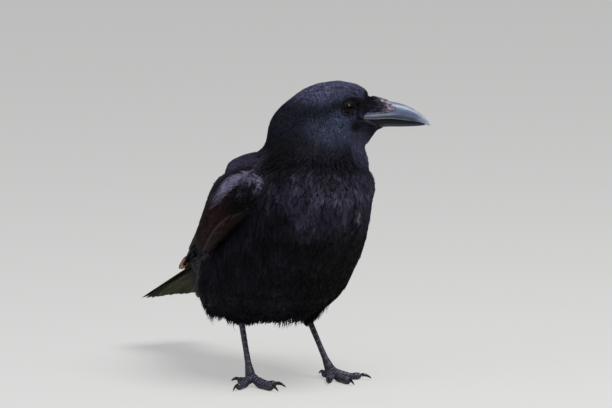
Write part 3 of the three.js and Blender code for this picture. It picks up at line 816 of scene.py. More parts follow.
def to_the_tail(at, facing):
    """The way rump feathers lie: back and inward, and down with the tail."""
    q = measures(at)[0]
    return np.stack([-0.007 * q[:, 0], 1.0 + 0 * q[:, 0], -0.3 + 0 * q[:, 0]], 1)


q = measures(roots)[0]
flank = step(np.abs(q[:, 0]), 36, 48) * step(q[:, 1], 34, 48) * step(q[:, 2], 128, 112)
length = (24 + 18 * flank + 8 * dice.random(len(roots))) * MM
shafts, facings = lay(bird_form, roots, length, 4, way=to_the_tail, stray=0.06, cling=0.4 - 0.3 * flank)
laid = dress(soft_vane, shafts, facings, 6.0 * MM, 3.5 * MM, 0.4 * MM,
             roll=dice.normal(0, 0.1, len(roots)))
coat("rump_coat", laid, roots, dye_and_painted_light(roots) * uneven(roots, 7, 10, 0.3), body_plumage, "plumage", rims=True)

# ---- Flight feathers ----
# A folded wing is stiff horny quills stacked like a closed fan: tertials outermost, secondaries under
# them, primaries below and reaching the tip, their roots in the flesh of the wing and covered by a
# row of greater coverts. They are black when new and wear brown.
QUILL_BLACK, QUILL_BROWN, COVERT_BROWN, QUILL_WORN = "#0a090b", "#1c110f", "#2a1814", "#54403a"
# a worn pale tip, painted lighter than it is to make up for the shade under the wing's end
TIP_PALE_AND_PAINTED_LIGHT = "#ffc29e"
WRIST, WING_LENGTH = -59, 247
# y from front to back, x, z, half the chord and half thickness outward in mm, lean in degrees
WING = np.array([
    (-59, -44, 175, 2, 2, 4),
    (-53, -45, 175, 11, 9, 4),
    (-30, -48, 170, 20, 13, 8),
    (12, -54, 155, 26, 12, 15),
    (52, -48, 134, 26, 9, 29),
    (95, -35, 113, 21, 6, 44),
    (138, -22, 95, 12.5, 4, 52),
    (170, -13, 83, 7, 2.2, 56),
    (188, -8.5, 76.5, 3, 1, 56),
])


def on_wing(side, y, v):
    """Places on a folded wing's outer face, y mm from front to back and v across from -1 to 1."""
    x, z, wide, over, lean = (np.interp(y, WING[:, 0], WING[:, k]) for k in range(1, 6))
    lean = np.radians(lean)
    chord = np.stack([-side * np.sin(lean), 0 * lean, np.cos(lean)], -1)
    out = np.stack([side * np.cos(lean), 0 * lean, np.sin(lean)], -1)
    centre = np.stack([-side * x, y, z], -1)
    bulge = (1.25 * over * np.sqrt(np.clip(1 - v * v, 0.02, 1)))[..., None]
    guess = np.array(FEET) + (centre + chord * (v * wide)[..., None] + out * bulge) * MM
    at, facing, _ = wing_form[side].nearest(guess.reshape(-1, 3))
    return at.reshape(guess.shape), facing.reshape(guess.shape)


def quills(side, roots, tips):
    """Shafts over the wing from (y, v) roots to (y, v) tips."""
    roots, tips = np.array(roots, float), np.array(tips, float)
    part = np.linspace(0, 1, 10)[None, :]
    y = roots[:, :1] + (tips[:, :1] - roots[:, :1]) * part
    v = roots[:, 1:] + (tips[:, 1:] - roots[:, 1:]) * part ** 0.8
    at, facing = on_wing(side, y, v)
    for _ in range(2):
        facing[:, 1:-1] = unit(facing[:, :-2] + facing[:, 1:-1] * 2 + facing[:, 2:])
    return at, facing


# Flight feathers are duller than the head's, streaked along the shaft and worn pale at their rims.
quill_material = plumage_material("stiff worn flight feathers", 0.5, 0.05, 0.0, long=60,
                                  rim=QUILL_WORN, streak=0.55)
long_vane = [plate(6, 9, 0.1, 0.05, outer=0.55, quill=0.06, thick=0.04) for _ in range(5)]
broad_vane = [plate(6, 7, 0.16, 0.08, quill=0.06, thick=0.04) for _ in range(5)]
small_vane = [plate(5, 4, 0.3, 0.12, quill=0.05, thick=0.05, fringe=4) for _ in range(6)]


def back(part):
    """How far back a share of the folded wing's length reaches, in mm."""
    return WRIST + WING_LENGTH * part


def turned(vanes, side):
    """Vanes as they are for the right wing, or turned over for the left, narrow web outermost."""
    return vanes if side == RIGHT else [(co * np.array((-1, 1, 1)), f[:, ::-1]) for co, f in vanes]


def fan(side, rows_of, code):
    """Rows of (root, tip, half width, height, vanes) as laid quills with their roots and colours."""
    lots = []
    for vanes in (long_vane, broad_vane):
        group = [row for row in rows_of if row[4] is vanes]
        if not group:
            continue
        shafts, facings = quills(side, [row[0] for row in group], [row[1] for row in group])
        half = np.array([row[2] for row in group]) * MM
        layer = np.array([row[3] for row in group]) * MM
        laid = dress(turned(vanes, side), shafts, facings, half, 1.2 * MM, 0.3 * MM, thick=5 * MM,
                     layer=layer, roll=0.09 * side)
        tone = dice.normal(1, 0.25, len(group)).clip(0.4, 1.8)
        colours = (dyed(code)[None] * tone[:, None])[laid[3]]
        lots.append((laid, shafts[:, 0], colours))
    return lots


def stray_tips(side):
    """Outer quills that stand a little off the wing's end, one tip worn pale on the right wing and
    painted lighter still against its shade.
    """
    part = np.linspace(0, 1, 10)[None, :, None]
    count = 3 if side == RIGHT else 1
    start = np.array(((25, 142, 94), (25, 130, 93), (27, 115, 102)), float)[:count, None]
    end = np.array(((15, 180, 76), (12.5, 176, 77), (20, 150, 87)), float)[:count, None]
    half = np.array((3.8, 6.0, 6.0))[:count] * MM
    line = (start * (1 - part) + end * part) * (side, 1, 1)
    shafts = np.array(FEET) + line * MM
    facings = np.tile(unit(np.array((-side * 0.65, 0.19, 0.74))), (count, 10, 1))
    laid = dress(long_vane, shafts, facings, half, 0.2 * MM, 0, thick=3 * MM)
    q = measures(laid[0])[0]
    tip = (step(q[:, 1], 146, 156) * (side == RIGHT) * (laid[3] == 0))[:, None]
    colours = dyed(QUILL_BLACK) * (1 - tip) + dyed(TIP_PALE_AND_PAINTED_LIGHT) * tip
    return laid, shafts[:, 0], colours


# each quill's root and tip as (y, v), then half width, height and shape, from the lowest quill up
PRIMARIES = [((back(0.16), -0.62 + 0.04 * k), (back(1.0 - 0.03 * k - 0.02 * (k == 0)), -0.75 + 0.19 * k),
              6.4, -2.6 + 0.35 * k, long_vane) for k in range(9)]
SECONDARIES = [((back(0.2), -0.52 + 0.105 * k), (back(0.6 + 0.014 * k), -0.76 + 0.14 * k),
                5.2, -1.6 + 0.28 * k, long_vane) for k in range(11)]
TERTIALS = [((back(0.3), 0.36 + 0.15 * k), (back(0.75 - 0.055 * k), 0.36 + 0.19 * k),
             7.4, 0.9 + 0.4 * k, broad_vane) for k in range(4)]
GREATER_COVERTS = [((back(0.14 + 0.016 * k), -0.6 + 0.08 * k),
                    (back(0.38 + 0.014 * k), -0.66 + 0.094 * k),
                    4.4, -0.6 + 0.12 * k, broad_vane) for k in range(16)]
for side, name in ((RIGHT, "wing_right"), (LEFT, "wing_left")):
    lots = fan(side, PRIMARIES, QUILL_BLACK) + fan(side, SECONDARIES + TERTIALS, QUILL_BROWN)
    lots.append(stray_tips(side))
    coat(f"{name}_flight", *together(lots), quill_material, "flight_feathers", rims=True)
    lots = fan(side, GREATER_COVERTS, COVERT_BROWN)
    coat(f"{name}_coverts", *together(lots), quill_material, "flight_feathers", rims=True)

# ---- Primary coverts ----
# The quills' own coverts and the thumb's feathers fold under the front of the wing as a second
# rounded lobe. They are stiff, black and streaked, and worn pale along the upper edge.
LOBE_BLACK, LOBE_EDGE = "#150b0a", "#4c3a37"
lots = []
for side in (RIGHT, LEFT):
    count = 8
    part = np.linspace(0.45, 1, count)
    start = np.stack([0 * part - 57, -44 + 2 * part, 157 + 5 * part], 1)
    bend = np.stack([0 * part - 68, -12 + 4 * part, 136 + 11 * part], 1)
    end = np.stack([-59 - 2 * part, 42 - 10 * dice.random(count), 109 + 5 * part], 1)
    along = np.linspace(0, 1, 9)[None, :, None]
    path = (start[:, None] * (1 - along) ** 2 + bend[:, None] * 2 * along * (1 - along)
            + end[:, None] * along ** 2)
    path[..., 0] *= -side
    # the run lies on the body's own surface, smoothed, and bulges out in the middle
    at, facing, _ = bird_form.nearest((np.array(FEET) + path * MM).reshape(-1, 3))
    at, facing = at.reshape(path.shape), facing.reshape(path.shape)
    for _ in range(3):
        at[:, 1:-1] = (at[:, :-2] + 2 * at[:, 1:-1] + at[:, 2:]) / 4
        facing[:, 1:-1] = unit(facing[:, :-2] + 2 * facing[:, 1:-1] + facing[:, 2:])
    bulge = 1.0 + 4.6 * np.sin(math.pi * (0.08 + 0.7 * part))
    laid = dress(turned(broad_vane, side), at, facing, (2.4 + 1.2 * part) * MM, (bulge + 3) * MM,
                 0.3 * MM, thick=5 * MM, layer=bulge * MM, roll=0.16 * side)
    tone = dice.normal(1, 0.4, count).clip(0.3, 1.8)[:, None]
    worn = step(part, 0.6, 1.0)[:, None] ** 2
    lots.append((laid, at[:, 0], (dyed(LOBE_BLACK) + (dyed(LOBE_EDGE) - dyed(LOBE_BLACK)) * worn) * tone))
lobe_material = plumage_material("dark quill coverts with a worn upper edge", 0.5, 0.05, 0.0, long=60,
                                 streak=0.9)
coat("primary_coverts", *together(lots), lobe_material, "flight_feathers", rims=True)

# ---- Lesser coverts ----
# Small soft coverts cover the front of the wing, with fine long ones swept over its upper arc. They
# are black, with a painted highlight in grey along the arc and painted shade, a deeper black, in the
# hollow under it; they are brown where they are worn behind, and end at the upper edge of the
# second lobe.
SHOULDER_HIGHLIGHT_GREY, HOLLOW_SHADE_BLACK = "#928ea6", "#030303"
# the second lobe's upper edge, as front to back and height in mm
SECOND_LOBE = ((-60, 150), (-48, 163), (-40, 160), (-31, 156), (-20, 151), (-10, 143.5), (3, 133.5),
               (20, 122), (37, 112))
# the rise of the way these feathers lie, by how far back they grow
RISE = ((-58, 0.5), (-46, 0.25), (-30, -0.1), (-16, -0.6), (2, -0.8))


def wing_lie(at, facing):
    """The way small coverts lie on a folded wing: up over the shoulder, then back and down."""
    y = measures(at)[0][:, 1]
    return np.stack([0 * y, 1 + 0 * y, np.interp(y, *zip(*RISE))], 1)


everywhere = bird_form.scatter(160000)
everywhere = everywhere[np.abs(measures(everywhere)[0][:, 0]) > 38]
from_arc, _ = off_line(everywhere, WING_ARC)
off_wing = off_wings(everywhere)
y = measures(everywhere)[0][:, 1]
low = np.interp(y, *zip(*SECOND_LOBE))
everywhere = everywhere[((off_wing < 0.8 * MM) | ((off_wing < 3 * MM) & (from_arc < 4.5)))
                        & (y < back(0.37)) & (y > -57) & (measures(everywhere)[0][:, 2] > low)]
lots = []
# spacing, half width, spread of brightness, height, and the painted highlight's width and strength
for vanes, gap, half, share, high, wide, grey in ((small_vane, 3.0, 2.7, 0.2, -0.8, 11, 0.75),
                                                  (hackle, 2.4, 1.3, 0.3, -0.3, 9.5, 1.0)):
    roots = thinned(everywhere, gap * MM)
    q = measures(roots)[0]
    from_arc, along = off_line(roots, WING_ARC)
    behind = step(q[:, 1], -50, 5)
    arc = step(from_arc, wide - 4 * along, 2.5) * step(along, 0.9, 0.5) * step(along, -0.02, 0.06) * grey
    length = (9 + 9 * behind) * (0.85 + 0.3 * dice.random(len(roots))) * MM
    shafts, facings = lay(bird_form, roots, length, 4, way=wing_lie, stray=0.07)
    # painted shade: the coverts start in the hollow's deeper black, and the arc gets a painted highlight
    colours = np.tile(dyed(HOLLOW_SHADE_BLACK), (len(roots), 1))
    for code, amount in ((COVERT_BROWN, step(q[:, 1], -34, -6)), (SHOULDER_HIGHLIGHT_GREY, arc)):
        colours = colours + (dyed(code) - colours) * amount[:, None]
    colours = colours * np.exp(dice.normal(0, share, len(roots)))[:, None] * uneven(roots, 3, 9, 0.3)
    laid = dress(vanes, shafts, facings, half * MM, 2.0 * MM, 0.2 * MM,
                 roll=dice.normal(0, 0.1, len(roots)),
                 layer=(high + 1.2 * behind + 1.4 * step(from_arc, 9, 3)) * MM)
    lots.append((laid, roots, colours))
coat("lesser_coverts", *together(lots), body_plumage, "flight_feathers", rims=True)

# ---- Tail feathers ----
# Twelve long stiff feathers, black above and dull olive below, closed to a narrow fan. The middle
# pair lies on top and each pair beside it goes a little under. A narrow black web runs down each
# outer edge of the fan.
TAIL_OLIVE, TAIL_BLACK, TAIL_EDGE = "#45432f", "#0d0c10", "#080706"
TAIL_ROOT, TAIL_END = Vector((0, 74, 118)), Vector((0, 219, 45.5))
# how far aside the middle pair, each next pair and the black webs lie at the tail's end, in mm
MIDDLE_PAIR, NEXT_PAIR, WEBS = 2.2, 5.3, 31.6


def on_tail(x, s, high):
    """Places x mm aside, at share s of the tail's length, and high above its middle surface."""
    run = TAIL_END - TAIL_ROOT
    above = run.normalized().cross(Vector((-1, 0, 0)))
    line = np.array(TAIL_ROOT) + s[..., None] * np.array(run) + x[..., None] * np.array((1, 0, 0))
    line = line + high[..., None] * np.array(above)
    # toward its end the fan curves up at the sides, a little more on the left
    line[..., 2] += (0.004 * x ** 2 + 0.05 * x) * s
    facing = unit(np.array(above) + (0.009 * x)[..., None] * np.array((1, 0, 0)))
    return np.array(FEET) + line * MM, facing


# Tail feathers are the dullest of the quills. A face that looks up is black, and one that looks down
# keeps its olive.
tail_material = plumage_material("stiff dull tail feathers", 0.75, 0.04, 0.0, long=120, rim=TAIL_EDGE,
                                 streak=0.5)
tree = tail_material.node_tree
shader = tree.nodes["Principled BSDF"]
olive = shader.inputs["Base Color"].links[0].from_socket
surface = add_node(tree, "ShaderNodeNewGeometry")
facing_up = add_node(tree, "ShaderNodeSeparateXYZ", {0: surface.outputs["Normal"]})
upper = add_node(tree, "ShaderNodeMapRange",
                 {"Value": facing_up.outputs["Z"], "From Min": 0.1, "From Max": 0.4})
colour = add_node(tree, "ShaderNodeMix", {0: upper.outputs[0], 6: olive, 7: linear(TAIL_BLACK)},
                  data_type="RGBA")
tree.links.new(colour.outputs[2], shader.inputs["Base Color"])

pairs = [(k, side) for k in range(6) for side in (-1, 1)]
aside = np.array([side * (MIDDLE_PAIR + NEXT_PAIR * k) for k, side in pairs])
sunk = np.array([-0.55 * k - (0.25 if side > 0 else 0) for k, side in pairs])
part = np.linspace(0, 1, 10)
narrowed = 0.22 + 0.78 * part[None, :]
x = aside[:, None] * narrowed
along = 0.02 + (1.012 + 0.006 * dice.random((len(aside), 1))) * part[None, :]
shafts, facings = on_tail(x, along, sunk[:, None] + 3.6 + 0 * x)
tail_vane = [plate(6, 9, 0.05, 0.02, quill=0.08, thick=0.05) for _ in range(5)]
laid = dress(tail_vane, shafts, facings, 10.4 * MM, 0.3 * MM, 0, thick=4 * MM, droop=0)
colours = dyed(TAIL_OLIVE)[None] * dice.normal(1, 0.15, len(shafts))[:, None]
lots = [(laid, shafts[:, 0], colours)]
x = np.array((-WEBS, WEBS))[:, None] * narrowed
shafts, facings = on_tail(x, 0.02 + 0.975 * part[None, :] + 0 * x, -0.6 + 0 * x)
laid = dress(tail_vane, shafts, facings, 3.0 * MM, 0.2 * MM, 0, thick=4 * MM, droop=0)
lots.append((laid, shafts[:, 0], np.array([dyed(TAIL_EDGE)] * 2)))
coat("tail_feathers", *together(lots), tail_material, "tail_feathers", ("tail",), rims=True)

# ---- Tail coverts ----
# Soft coverts lie in rows over the roots of the tail feathers, above, below and down both sides, so
# that the tail grows out of the body without a step.
TAIL_COVERT, RUMP_GREY = "#1f1f1c", "#33342e"
part = part[None, ::3]
lots = []
for above in (1, -1):
    for row in range(6):
        spread = np.linspace(-1, 1, 9 - (row % 2)) * (12 + 0.8 * row)
        x = spread[:, None] * (0.8 + 0.35 * part)
        along = 0.075 * row + 0.2 * part + 0 * x
        high = above * (10.0 - 1.0 * row - 0.012 * spread[:, None] ** 2) * (1 - 0.35 * part)
        shafts, facings = on_tail(x, along, high)
        laid = dress(soft_vane, shafts, facings * above, 6.4 * MM, 1.0 * MM, 0.3 * MM)
        tone = dice.normal(1, 0.2, len(shafts))[:, None]
        lots.append((laid, shafts[:, 0], dyed(TAIL_COVERT)[None] * tone))
for side in (RIGHT, LEFT):
    for row in range(3):
        count = 8
        level = np.linspace(73, 94, count) + 1.2 * (row % 2)
        end = np.stack([side * (29.0 + 1.5 * row) + dice.normal(0, 0.5, count),
                        132 - 8 * row - 0.03 * (level - 80) ** 2 + dice.normal(0, 1, count),
                        level - 2], 1)
        start = end * (0, 0, 1) + np.array((side * 34.0, 94 - 4 * row, 4.0))
        line = start[:, None] + (end - start)[:, None] * part[..., None]
        facings = np.tile(unit(np.array((side * 0.98, 0.1, 0.15))), (count, line.shape[1], 1))
        shafts = np.array(FEET) + line * MM
        laid = dress(soft_vane, shafts, facings, 4.8 * MM, 0.6 * MM, 0.2 * MM)
        tone = dice.normal(1, 0.2, count)[:, None]
        lots.append((laid, shafts[:, 0], dyed(RUMP_GREY)[None] * tone))
coat("tail_coverts", *together(lots), body_plumage, "tail_feathers", rims=True)

# ---- Bill ----
# Two horn sheaths over bone: the upper arches along its ridge, hooks a little at the tip and closes
# over the lower. Grown horn is satin blue-black and worn paler at the tip. Painted highlights run
# pale along the ridge, the lip and a stripe above it, a painted blue sheen lies over the upper bill's
# top and along a stripe of the lower, and the lower bill is painted darker as shade.
HORN_SHADE, HORN_DARK, HORN_SHEEN_BLUE = "#07090c", "#232b38", "#57627b"
HORN_WORN_AND_HIGHLIGHT, GAPE_GREY = "#a7aabb", "#303a3e"
# how far ahead of the head's centre, ridge, cutting edge and half width, in mm
UPPER_BILL = ((7, 3.6, -10.2, 8.4), (9, 4.6, -10.7, 8.9), (20, 5, -11, 8.6), (28, 3.9, -10.6, 7.4),
              (36, 2.7, -10.7, 6.4), (44.5, 0.6, -11.6, 5.3), (52, -2.6, -12.6, 4.1),
              (59, -7.2, -14.1, 2.8), (64.2, -12, -16.2, 1.5), (66.4, -15.6, -16.8, 0.5))
# how far ahead, cutting edge, keel and half width, in mm
LOWER_BILL = ((7, -8, -16.6, 7.8), (8, -8, -17, 7.9), (20, -8.8, -18.8, 7.7), (32, -9, -18.1, 6.1),
              (44, -9.9, -17.9, 4.6), (54, -11.6, -17.4, 3.2), (60, -13, -16.8, 1.9),
              (62.6, -15.2, -16.2, 0.5))


def through(rows, count):
    """Rows of numbers drawn into a smooth run of more rows."""
    rows = np.array(rows, float)
    last = len(rows) - 1
    t = np.linspace(0, last, count)
    k = np.minimum(t.astype(int), last - 1)
    f = (t - k)[:, None]
    a, b, c, d = (rows[np.clip(k + shift, 0, last)] for shift in (-1, 0, 1, 2))
    pull, push = (c - a) / 2, (d - b) / 2
    return (b * (2 * f ** 3 - 3 * f ** 2 + 1) + pull * (f ** 3 - 2 * f ** 2 + f)
            + c * (3 * f ** 2 - 2 * f ** 3) + push * (f ** 3 - f ** 2))


def sheath(rings):
    """A closed mesh through rings of points, drawn to a point at the last."""
    shell = bmesh.new()
    before = None
    for ring in rings:
        made = bmesh.ops.create_circle(shell, cap_ends=False, segments=len(ring), radius=1)["verts"]
        for v, at in zip(made, ring):
            v.co = at
        edges = list({e for v in made for e in v.link_edges})
        if before:
            bmesh.ops.bridge_loops(shell, edges=before + edges)
        before = edges
    bmesh.ops.holes_fill(shell, edges=shell.edges, sides=0)
    bmesh.ops.recalc_face_normals(shell, faces=shell.faces)
    mesh = as_mesh(shell, "sheath")
    smooth(mesh)
    mesh.set_sharp_from_angle(angle=math.radians(60))
    return mesh


def on_head(ahead, right, up):
    """A place in metres from millimetres ahead, to the right and up from the head's centre."""
    return HEAD_CENTRE + (HEAD_AHEAD * float(ahead) + HEAD_RIGHT * float(right) + UP * float(up)) * MM


def upper_ring(row):
    """The upper bill's section: domed ridge, a shallow groove over the lip, and a hollow palate."""
    ahead, ridge, edge, wide = row
    middle = edge + 0.3 * (ridge - edge)
    side = []
    for a in np.radians(np.linspace(90, -25, 26)):
        lip = 1 - 0.06 * math.exp(-((math.degrees(a) - 9) / 8) ** 2)
        x = wide * max(math.cos(a), 0) ** 0.9 * lip
        z = middle + (math.sin(a) * (ridge - middle) if a > 0 else math.sin(a) / 0.4226 * (middle - edge))
        side.append((x, z))
    palate = [(side[-1][0] * t, edge + (1 - t * t) * 0.16 * (ridge - edge))
              for t in (0.7, 0.35, 0, -0.35, -0.7)]
    whole = side + palate + [(-x, z) for x, z in side[:0:-1]]
    return [on_head(ahead, x, z) for x, z in whole]


def lower_ring(row):
    """The lower bill's section: a rounded keel between flat sides, cut off at the lip."""
    ahead, edge, keel, wide = row
    middle = keel + 0.62 * (edge - keel)
    side = []
    for a in np.radians(np.linspace(-90, 22, 22)):
        x = wide * max(math.cos(a), 0) ** 0.85
        z = middle + (math.sin(a) * (middle - keel) if a < 0 else math.sin(a) / 0.3746 * (edge - middle))
        side.append((x, z))
    tongue = [(side[-1][0] * t, edge - (1 - t * t) * 0.12 * (edge - keel)) for t in (0.6, 0, -0.6)]
    whole = side + tongue + [(-x, z) for x, z in side[:0:-1]]
    return [on_head(ahead, x, z) for x, z in whole]


def horn_material(name, gloss):
    """Grown horn: satin, with clouds about 9 mm long and a fine grain about 2 mm long."""
    material, tree, shader = new_material(name, Roughness=0.32, IOR=1.54, Specular_IOR_Level=gloss)
    spot = add_node(tree, "ShaderNodeTexCoord")
    stretch = add_node(tree, "ShaderNodeMapping", {"Vector": spot.outputs["Object"], "Scale": (1, 1, 3)})
    grain = add_node(tree, "ShaderNodeTexNoise",
                     {"Vector": stretch.outputs[0], "Scale": 420.0, "Detail": 4.0})
    clouds = add_node(tree, "ShaderNodeTexNoise",
                      {"Vector": stretch.outputs[0], "Scale": 110.0, "Detail": 3.0})
    own = add_node(tree, "ShaderNodeAttribute", attribute_name="dye_and_painted_light")
    cloud = add_node(tree, "ShaderNodeMapRange",
                     {"Value": clouds.outputs["Fac"], "From Min": 0.3, "From Max": 0.7,
                      "To Min": 0.8, "To Max": 1.2})
    colour = add_node(tree, "ShaderNodeVectorMath", {0: own.outputs["Color"], "Scale": cloud.outputs[0]},
                      operation="SCALE")
    bumps = add_node(tree, "ShaderNodeBump",
                     {"Height": grain.outputs["Fac"], "Strength": 0.25, "Distance": 0.4 * MM})
    tree.links.new(colour.outputs["Vector"], shader.inputs["Base Color"])
    tree.links.new(bumps.outputs["Normal"], shader.inputs["Normal"])
    return material


for name, rows, ring, gloss in (("bill_upper_horn", UPPER_BILL, upper_ring, 0.5),
                                ("bill_lower_horn", LOWER_BILL, lower_ring, 0.2)):
    mesh = sheath([ring(row) for row in through(rows, 60)])
    _, ahead, _, up = measures(numbers(mesh.vertices, "co"))
    tip = step(ahead, 42, 62)
    top, bottom = (np.interp(ahead, [r[0] for r in rows], [r[k] for r in rows]) for k in (1, 2))
    high = (up - bottom) / np.maximum(top - bottom, 0.1)
    if name == "bill_upper_horn":
        # painted highlights along the lip, a stripe above it and the ridge, and a painted blue sheen
        # above; the tip is worn pale
        lip = step(high, 0.06, 0.01) * step(ahead, 10, 14) * step(ahead, 56, 46)
        seam = step(np.abs(high - 0.09), 0.05, 0.0) * step(ahead, 48, 34)
        highlight_band = step(np.abs(high - 0.2 - 0.006 * (ahead - 20)), 0.1, 0.02) * step(ahead, 44, 30)
        shares = ((HORN_DARK, 1.0 + 0 * high), (HORN_SHEEN_BLUE, step(high, 0.1, 0.42)),
                  (HORN_WORN_AND_HIGHLIGHT, 0.5 * highlight_band), (HORN_DARK, 0.7 * seam), (HORN_WORN_AND_HIGHLIGHT, 0.6 * lip),
                  (HORN_WORN_AND_HIGHLIGHT, 0.85 * step(high, 0.72, 1.0) * (0.3 + 0.7 * tip)),
                  (HORN_WORN_AND_HIGHLIGHT, 0.7 * step(ahead, 52, 66)))
    else:
        # the lower bill painted dark as shade, with a painted blue sheen in a stripe along its side
        shares = ((HORN_SHADE, 1.0 + 0 * high),
                  (HORN_SHEEN_BLUE, 0.4 * step(np.abs(high - 0.22), 0.16, 0.04) * step(ahead, 22, 30)),
                  (GAPE_GREY, near(np.stack([high * 10, ahead], 1), (4, 13), (5, 5))))
    colours = np.zeros((len(high), 3))
    for code, share in shares:
        colours = colours + (dyed(code) - colours) * share[:, None]
    tint(mesh, colours)
    show(name, mesh, horn_material(f"{name}, satin", gloss), (name.removesuffix("_horn"),))

# ---- Eyes and lids ----
# A dark brown eye under a clear wet front sits in the head, in a thin ring of fine grey scaly skin.
# The ring grows from the edge of the ball out under the feathers.
PUPIL_BLACK, IRIS_BROWN = "#020202", "#120502"
LID_BLACK, LID_GREY = "#08080b", "#5b5964"
EYE_RADIUS = 5.4
# The wet front is as smooth as glass, so the lamps show in it as small sharp lights.
eye_material, tree, shader = new_material("wet dark brown eye", Roughness=0.04, IOR=1.38,
                                          Specular_IOR_Level=0.18)
iris = add_node(tree, "ShaderNodeAttribute", attribute_name="rim")
colour = add_node(tree, "ShaderNodeMix",
                  {0: iris.outputs["Fac"], 6: linear(PUPIL_BLACK), 7: linear(IRIS_BROWN)},
                  data_type="RGBA")
tree.links.new(colour.outputs[2], shader.inputs["Base Color"])
# Lid skin is matt and black, with grey domed scales where it is bare, drawn about 1 mm apart so that
# they show.
lid_material, tree, shader = new_material("fine scaly eyelid skin", Roughness=0.5, Specular_IOR_Level=0.1)
spot = add_node(tree, "ShaderNodeTexCoord")
scale = add_node(tree, "ShaderNodeTexVoronoi", {"Vector": spot.outputs["Object"], "Scale": 900.0})
dot = add_node(tree, "ShaderNodeMapRange",
               {"Value": scale.outputs["Distance"], "From Min": 0.5, "From Max": 0.2})
bare = add_node(tree, "ShaderNodeAttribute", attribute_name="bare")
share = add_node(tree, "ShaderNodeMath", {0: dot.outputs[0], 1: bare.outputs["Fac"]},
                 operation="MULTIPLY")
domes = add_node(tree, "ShaderNodeBump",
                 {"Height": dot.outputs[0], "Strength": 0.5, "Distance": 0.3 * MM})
tree.links.new(domes.outputs["Normal"], shader.inputs["Normal"])
colour = add_node(tree, "ShaderNodeMix", {0: share.outputs[0], 6: linear(LID_BLACK), 7: linear(LID_GREY)},
                  data_type="RGBA")
tree.links.new(colour.outputs[2], shader.inputs["Base Color"])
# the lid's rings from the wet edge outward, in mm: their radii, and how high the first four stand off
# the ball and the rest off its centre
LID_RADII = (4.5, 4.6, 4.85, 5.15, 5.9, 7.0, 8.6)
LID_HEIGHTS = (-0.3, 0.3, 0.5, 0.75, 2.7, 2.2, 0.4)
for name, side in (("eye_right", 1), ("eye_left", -1)):
    centre = eye_at[name]
    out = (side * HEAD_RIGHT + EYE_AHEAD * HEAD_AHEAD).normalized()
    turn = out.to_track_quat("Z", "Y").to_matrix().to_4x4()
    ball = bmesh.new()
    bmesh.ops.create_uvsphere(ball, u_segments=48, v_segments=32, radius=EYE_RADIUS * MM)
    # brown between the black pupil and the dark outer rim
    off = np.array([math.hypot(v.co.x, v.co.y) / MM for v in ball.verts])
    brown = step(off, 2.0, 2.4) * (1 - step(off, 4.2, 4.8))
    bmesh.ops.transform(ball, matrix=Matrix.Translation(centre) @ turn, verts=ball.verts)
    mesh = as_mesh(ball, name)
    smooth(mesh)
    mesh.attributes.new("rim", "FLOAT", "POINT").data.foreach_set("value", brown)
    show(f"{name}_ball", mesh, eye_material, (name,))

    lids = bmesh.new()
    profile = [lids.verts.new((radius * MM, 0, 0)) for radius in LID_RADII]
    for one, two in zip(profile, profile[1:]):
        lids.edges.new((one, two))
    bmesh.ops.spin(lids, geom=lids.verts[:] + lids.edges[:], cent=(0, 0, 0), axis=(0, 0, 1),
                   angle=2 * math.pi, steps=56, use_merge=True)
    bmesh.ops.remove_doubles(lids, verts=lids.verts, dist=1e-6)
    bare = []
    for v in lids.verts:
        ring = int(np.argmin(np.abs(np.array(LID_RADII) - v.co.xy.length / MM)))
        around = math.atan2(v.co.y, v.co.x)
        below = max(0, -math.sin(around))
        v.co.y *= 0.86 + 0.1 * below * (ring > 2)
        off = v.co.xy.length / MM
        on_ball = math.sqrt(max(EYE_RADIUS ** 2 - off ** 2, 0.01))
        v.co.z = (on_ball * (ring < 4) + LID_HEIGHTS[ring]) * MM
        bare.append(step(below, 0.1, 0.5) * (ring > 2) + 0.25 * (ring in (1, 2)))
    bmesh.ops.recalc_face_normals(lids, faces=lids.faces)
    bmesh.ops.transform(lids, matrix=Matrix.Translation(centre) @ turn, verts=lids.verts)
    mesh = as_mesh(lids, "lids")
    smooth(mesh)
    mesh.attributes.new("bare", "FLOAT", "POINT").data.foreach_set("value", bare)
    show(f"{name}_lids", mesh, lid_material)

# ---- Legs, feet and claws ----
# Bare shanks and toes are covered in horny plates: broad scutes lap down the front of the shank and
# over each toe, small round scales between, and wrinkled pads below. The claws are glossy horn.
SCALE_DARK, SCUTE_GREY, SCALE_EDGE = "#14151c", "#2f303c", "#8b8996"
CLAW_BLACK, CLAW_GREY = "#08080a", "#1c1b20"
# the side, the shank's upper end and its end over the toes in mm, and the foot's turn in degrees
LEGS = {"right": (RIGHT, (-32.3, 26, 55.5), (-34, 4, 6.5), -8),
        "left": (LEFT, (33, 28, 51), (43, 5, 6.5), 0)}
# how far the hind toe and the three front ones turn from straight ahead, in degrees
TOE_TURNS = (176, -31, 1, 60)
# mm from scute to scute down the shank and along a toe, and how far each one's end stands up
SHANK_SCUTE, TOE_SCUTE, SCUTE_RISE = 5.6, 3.1, 0.3

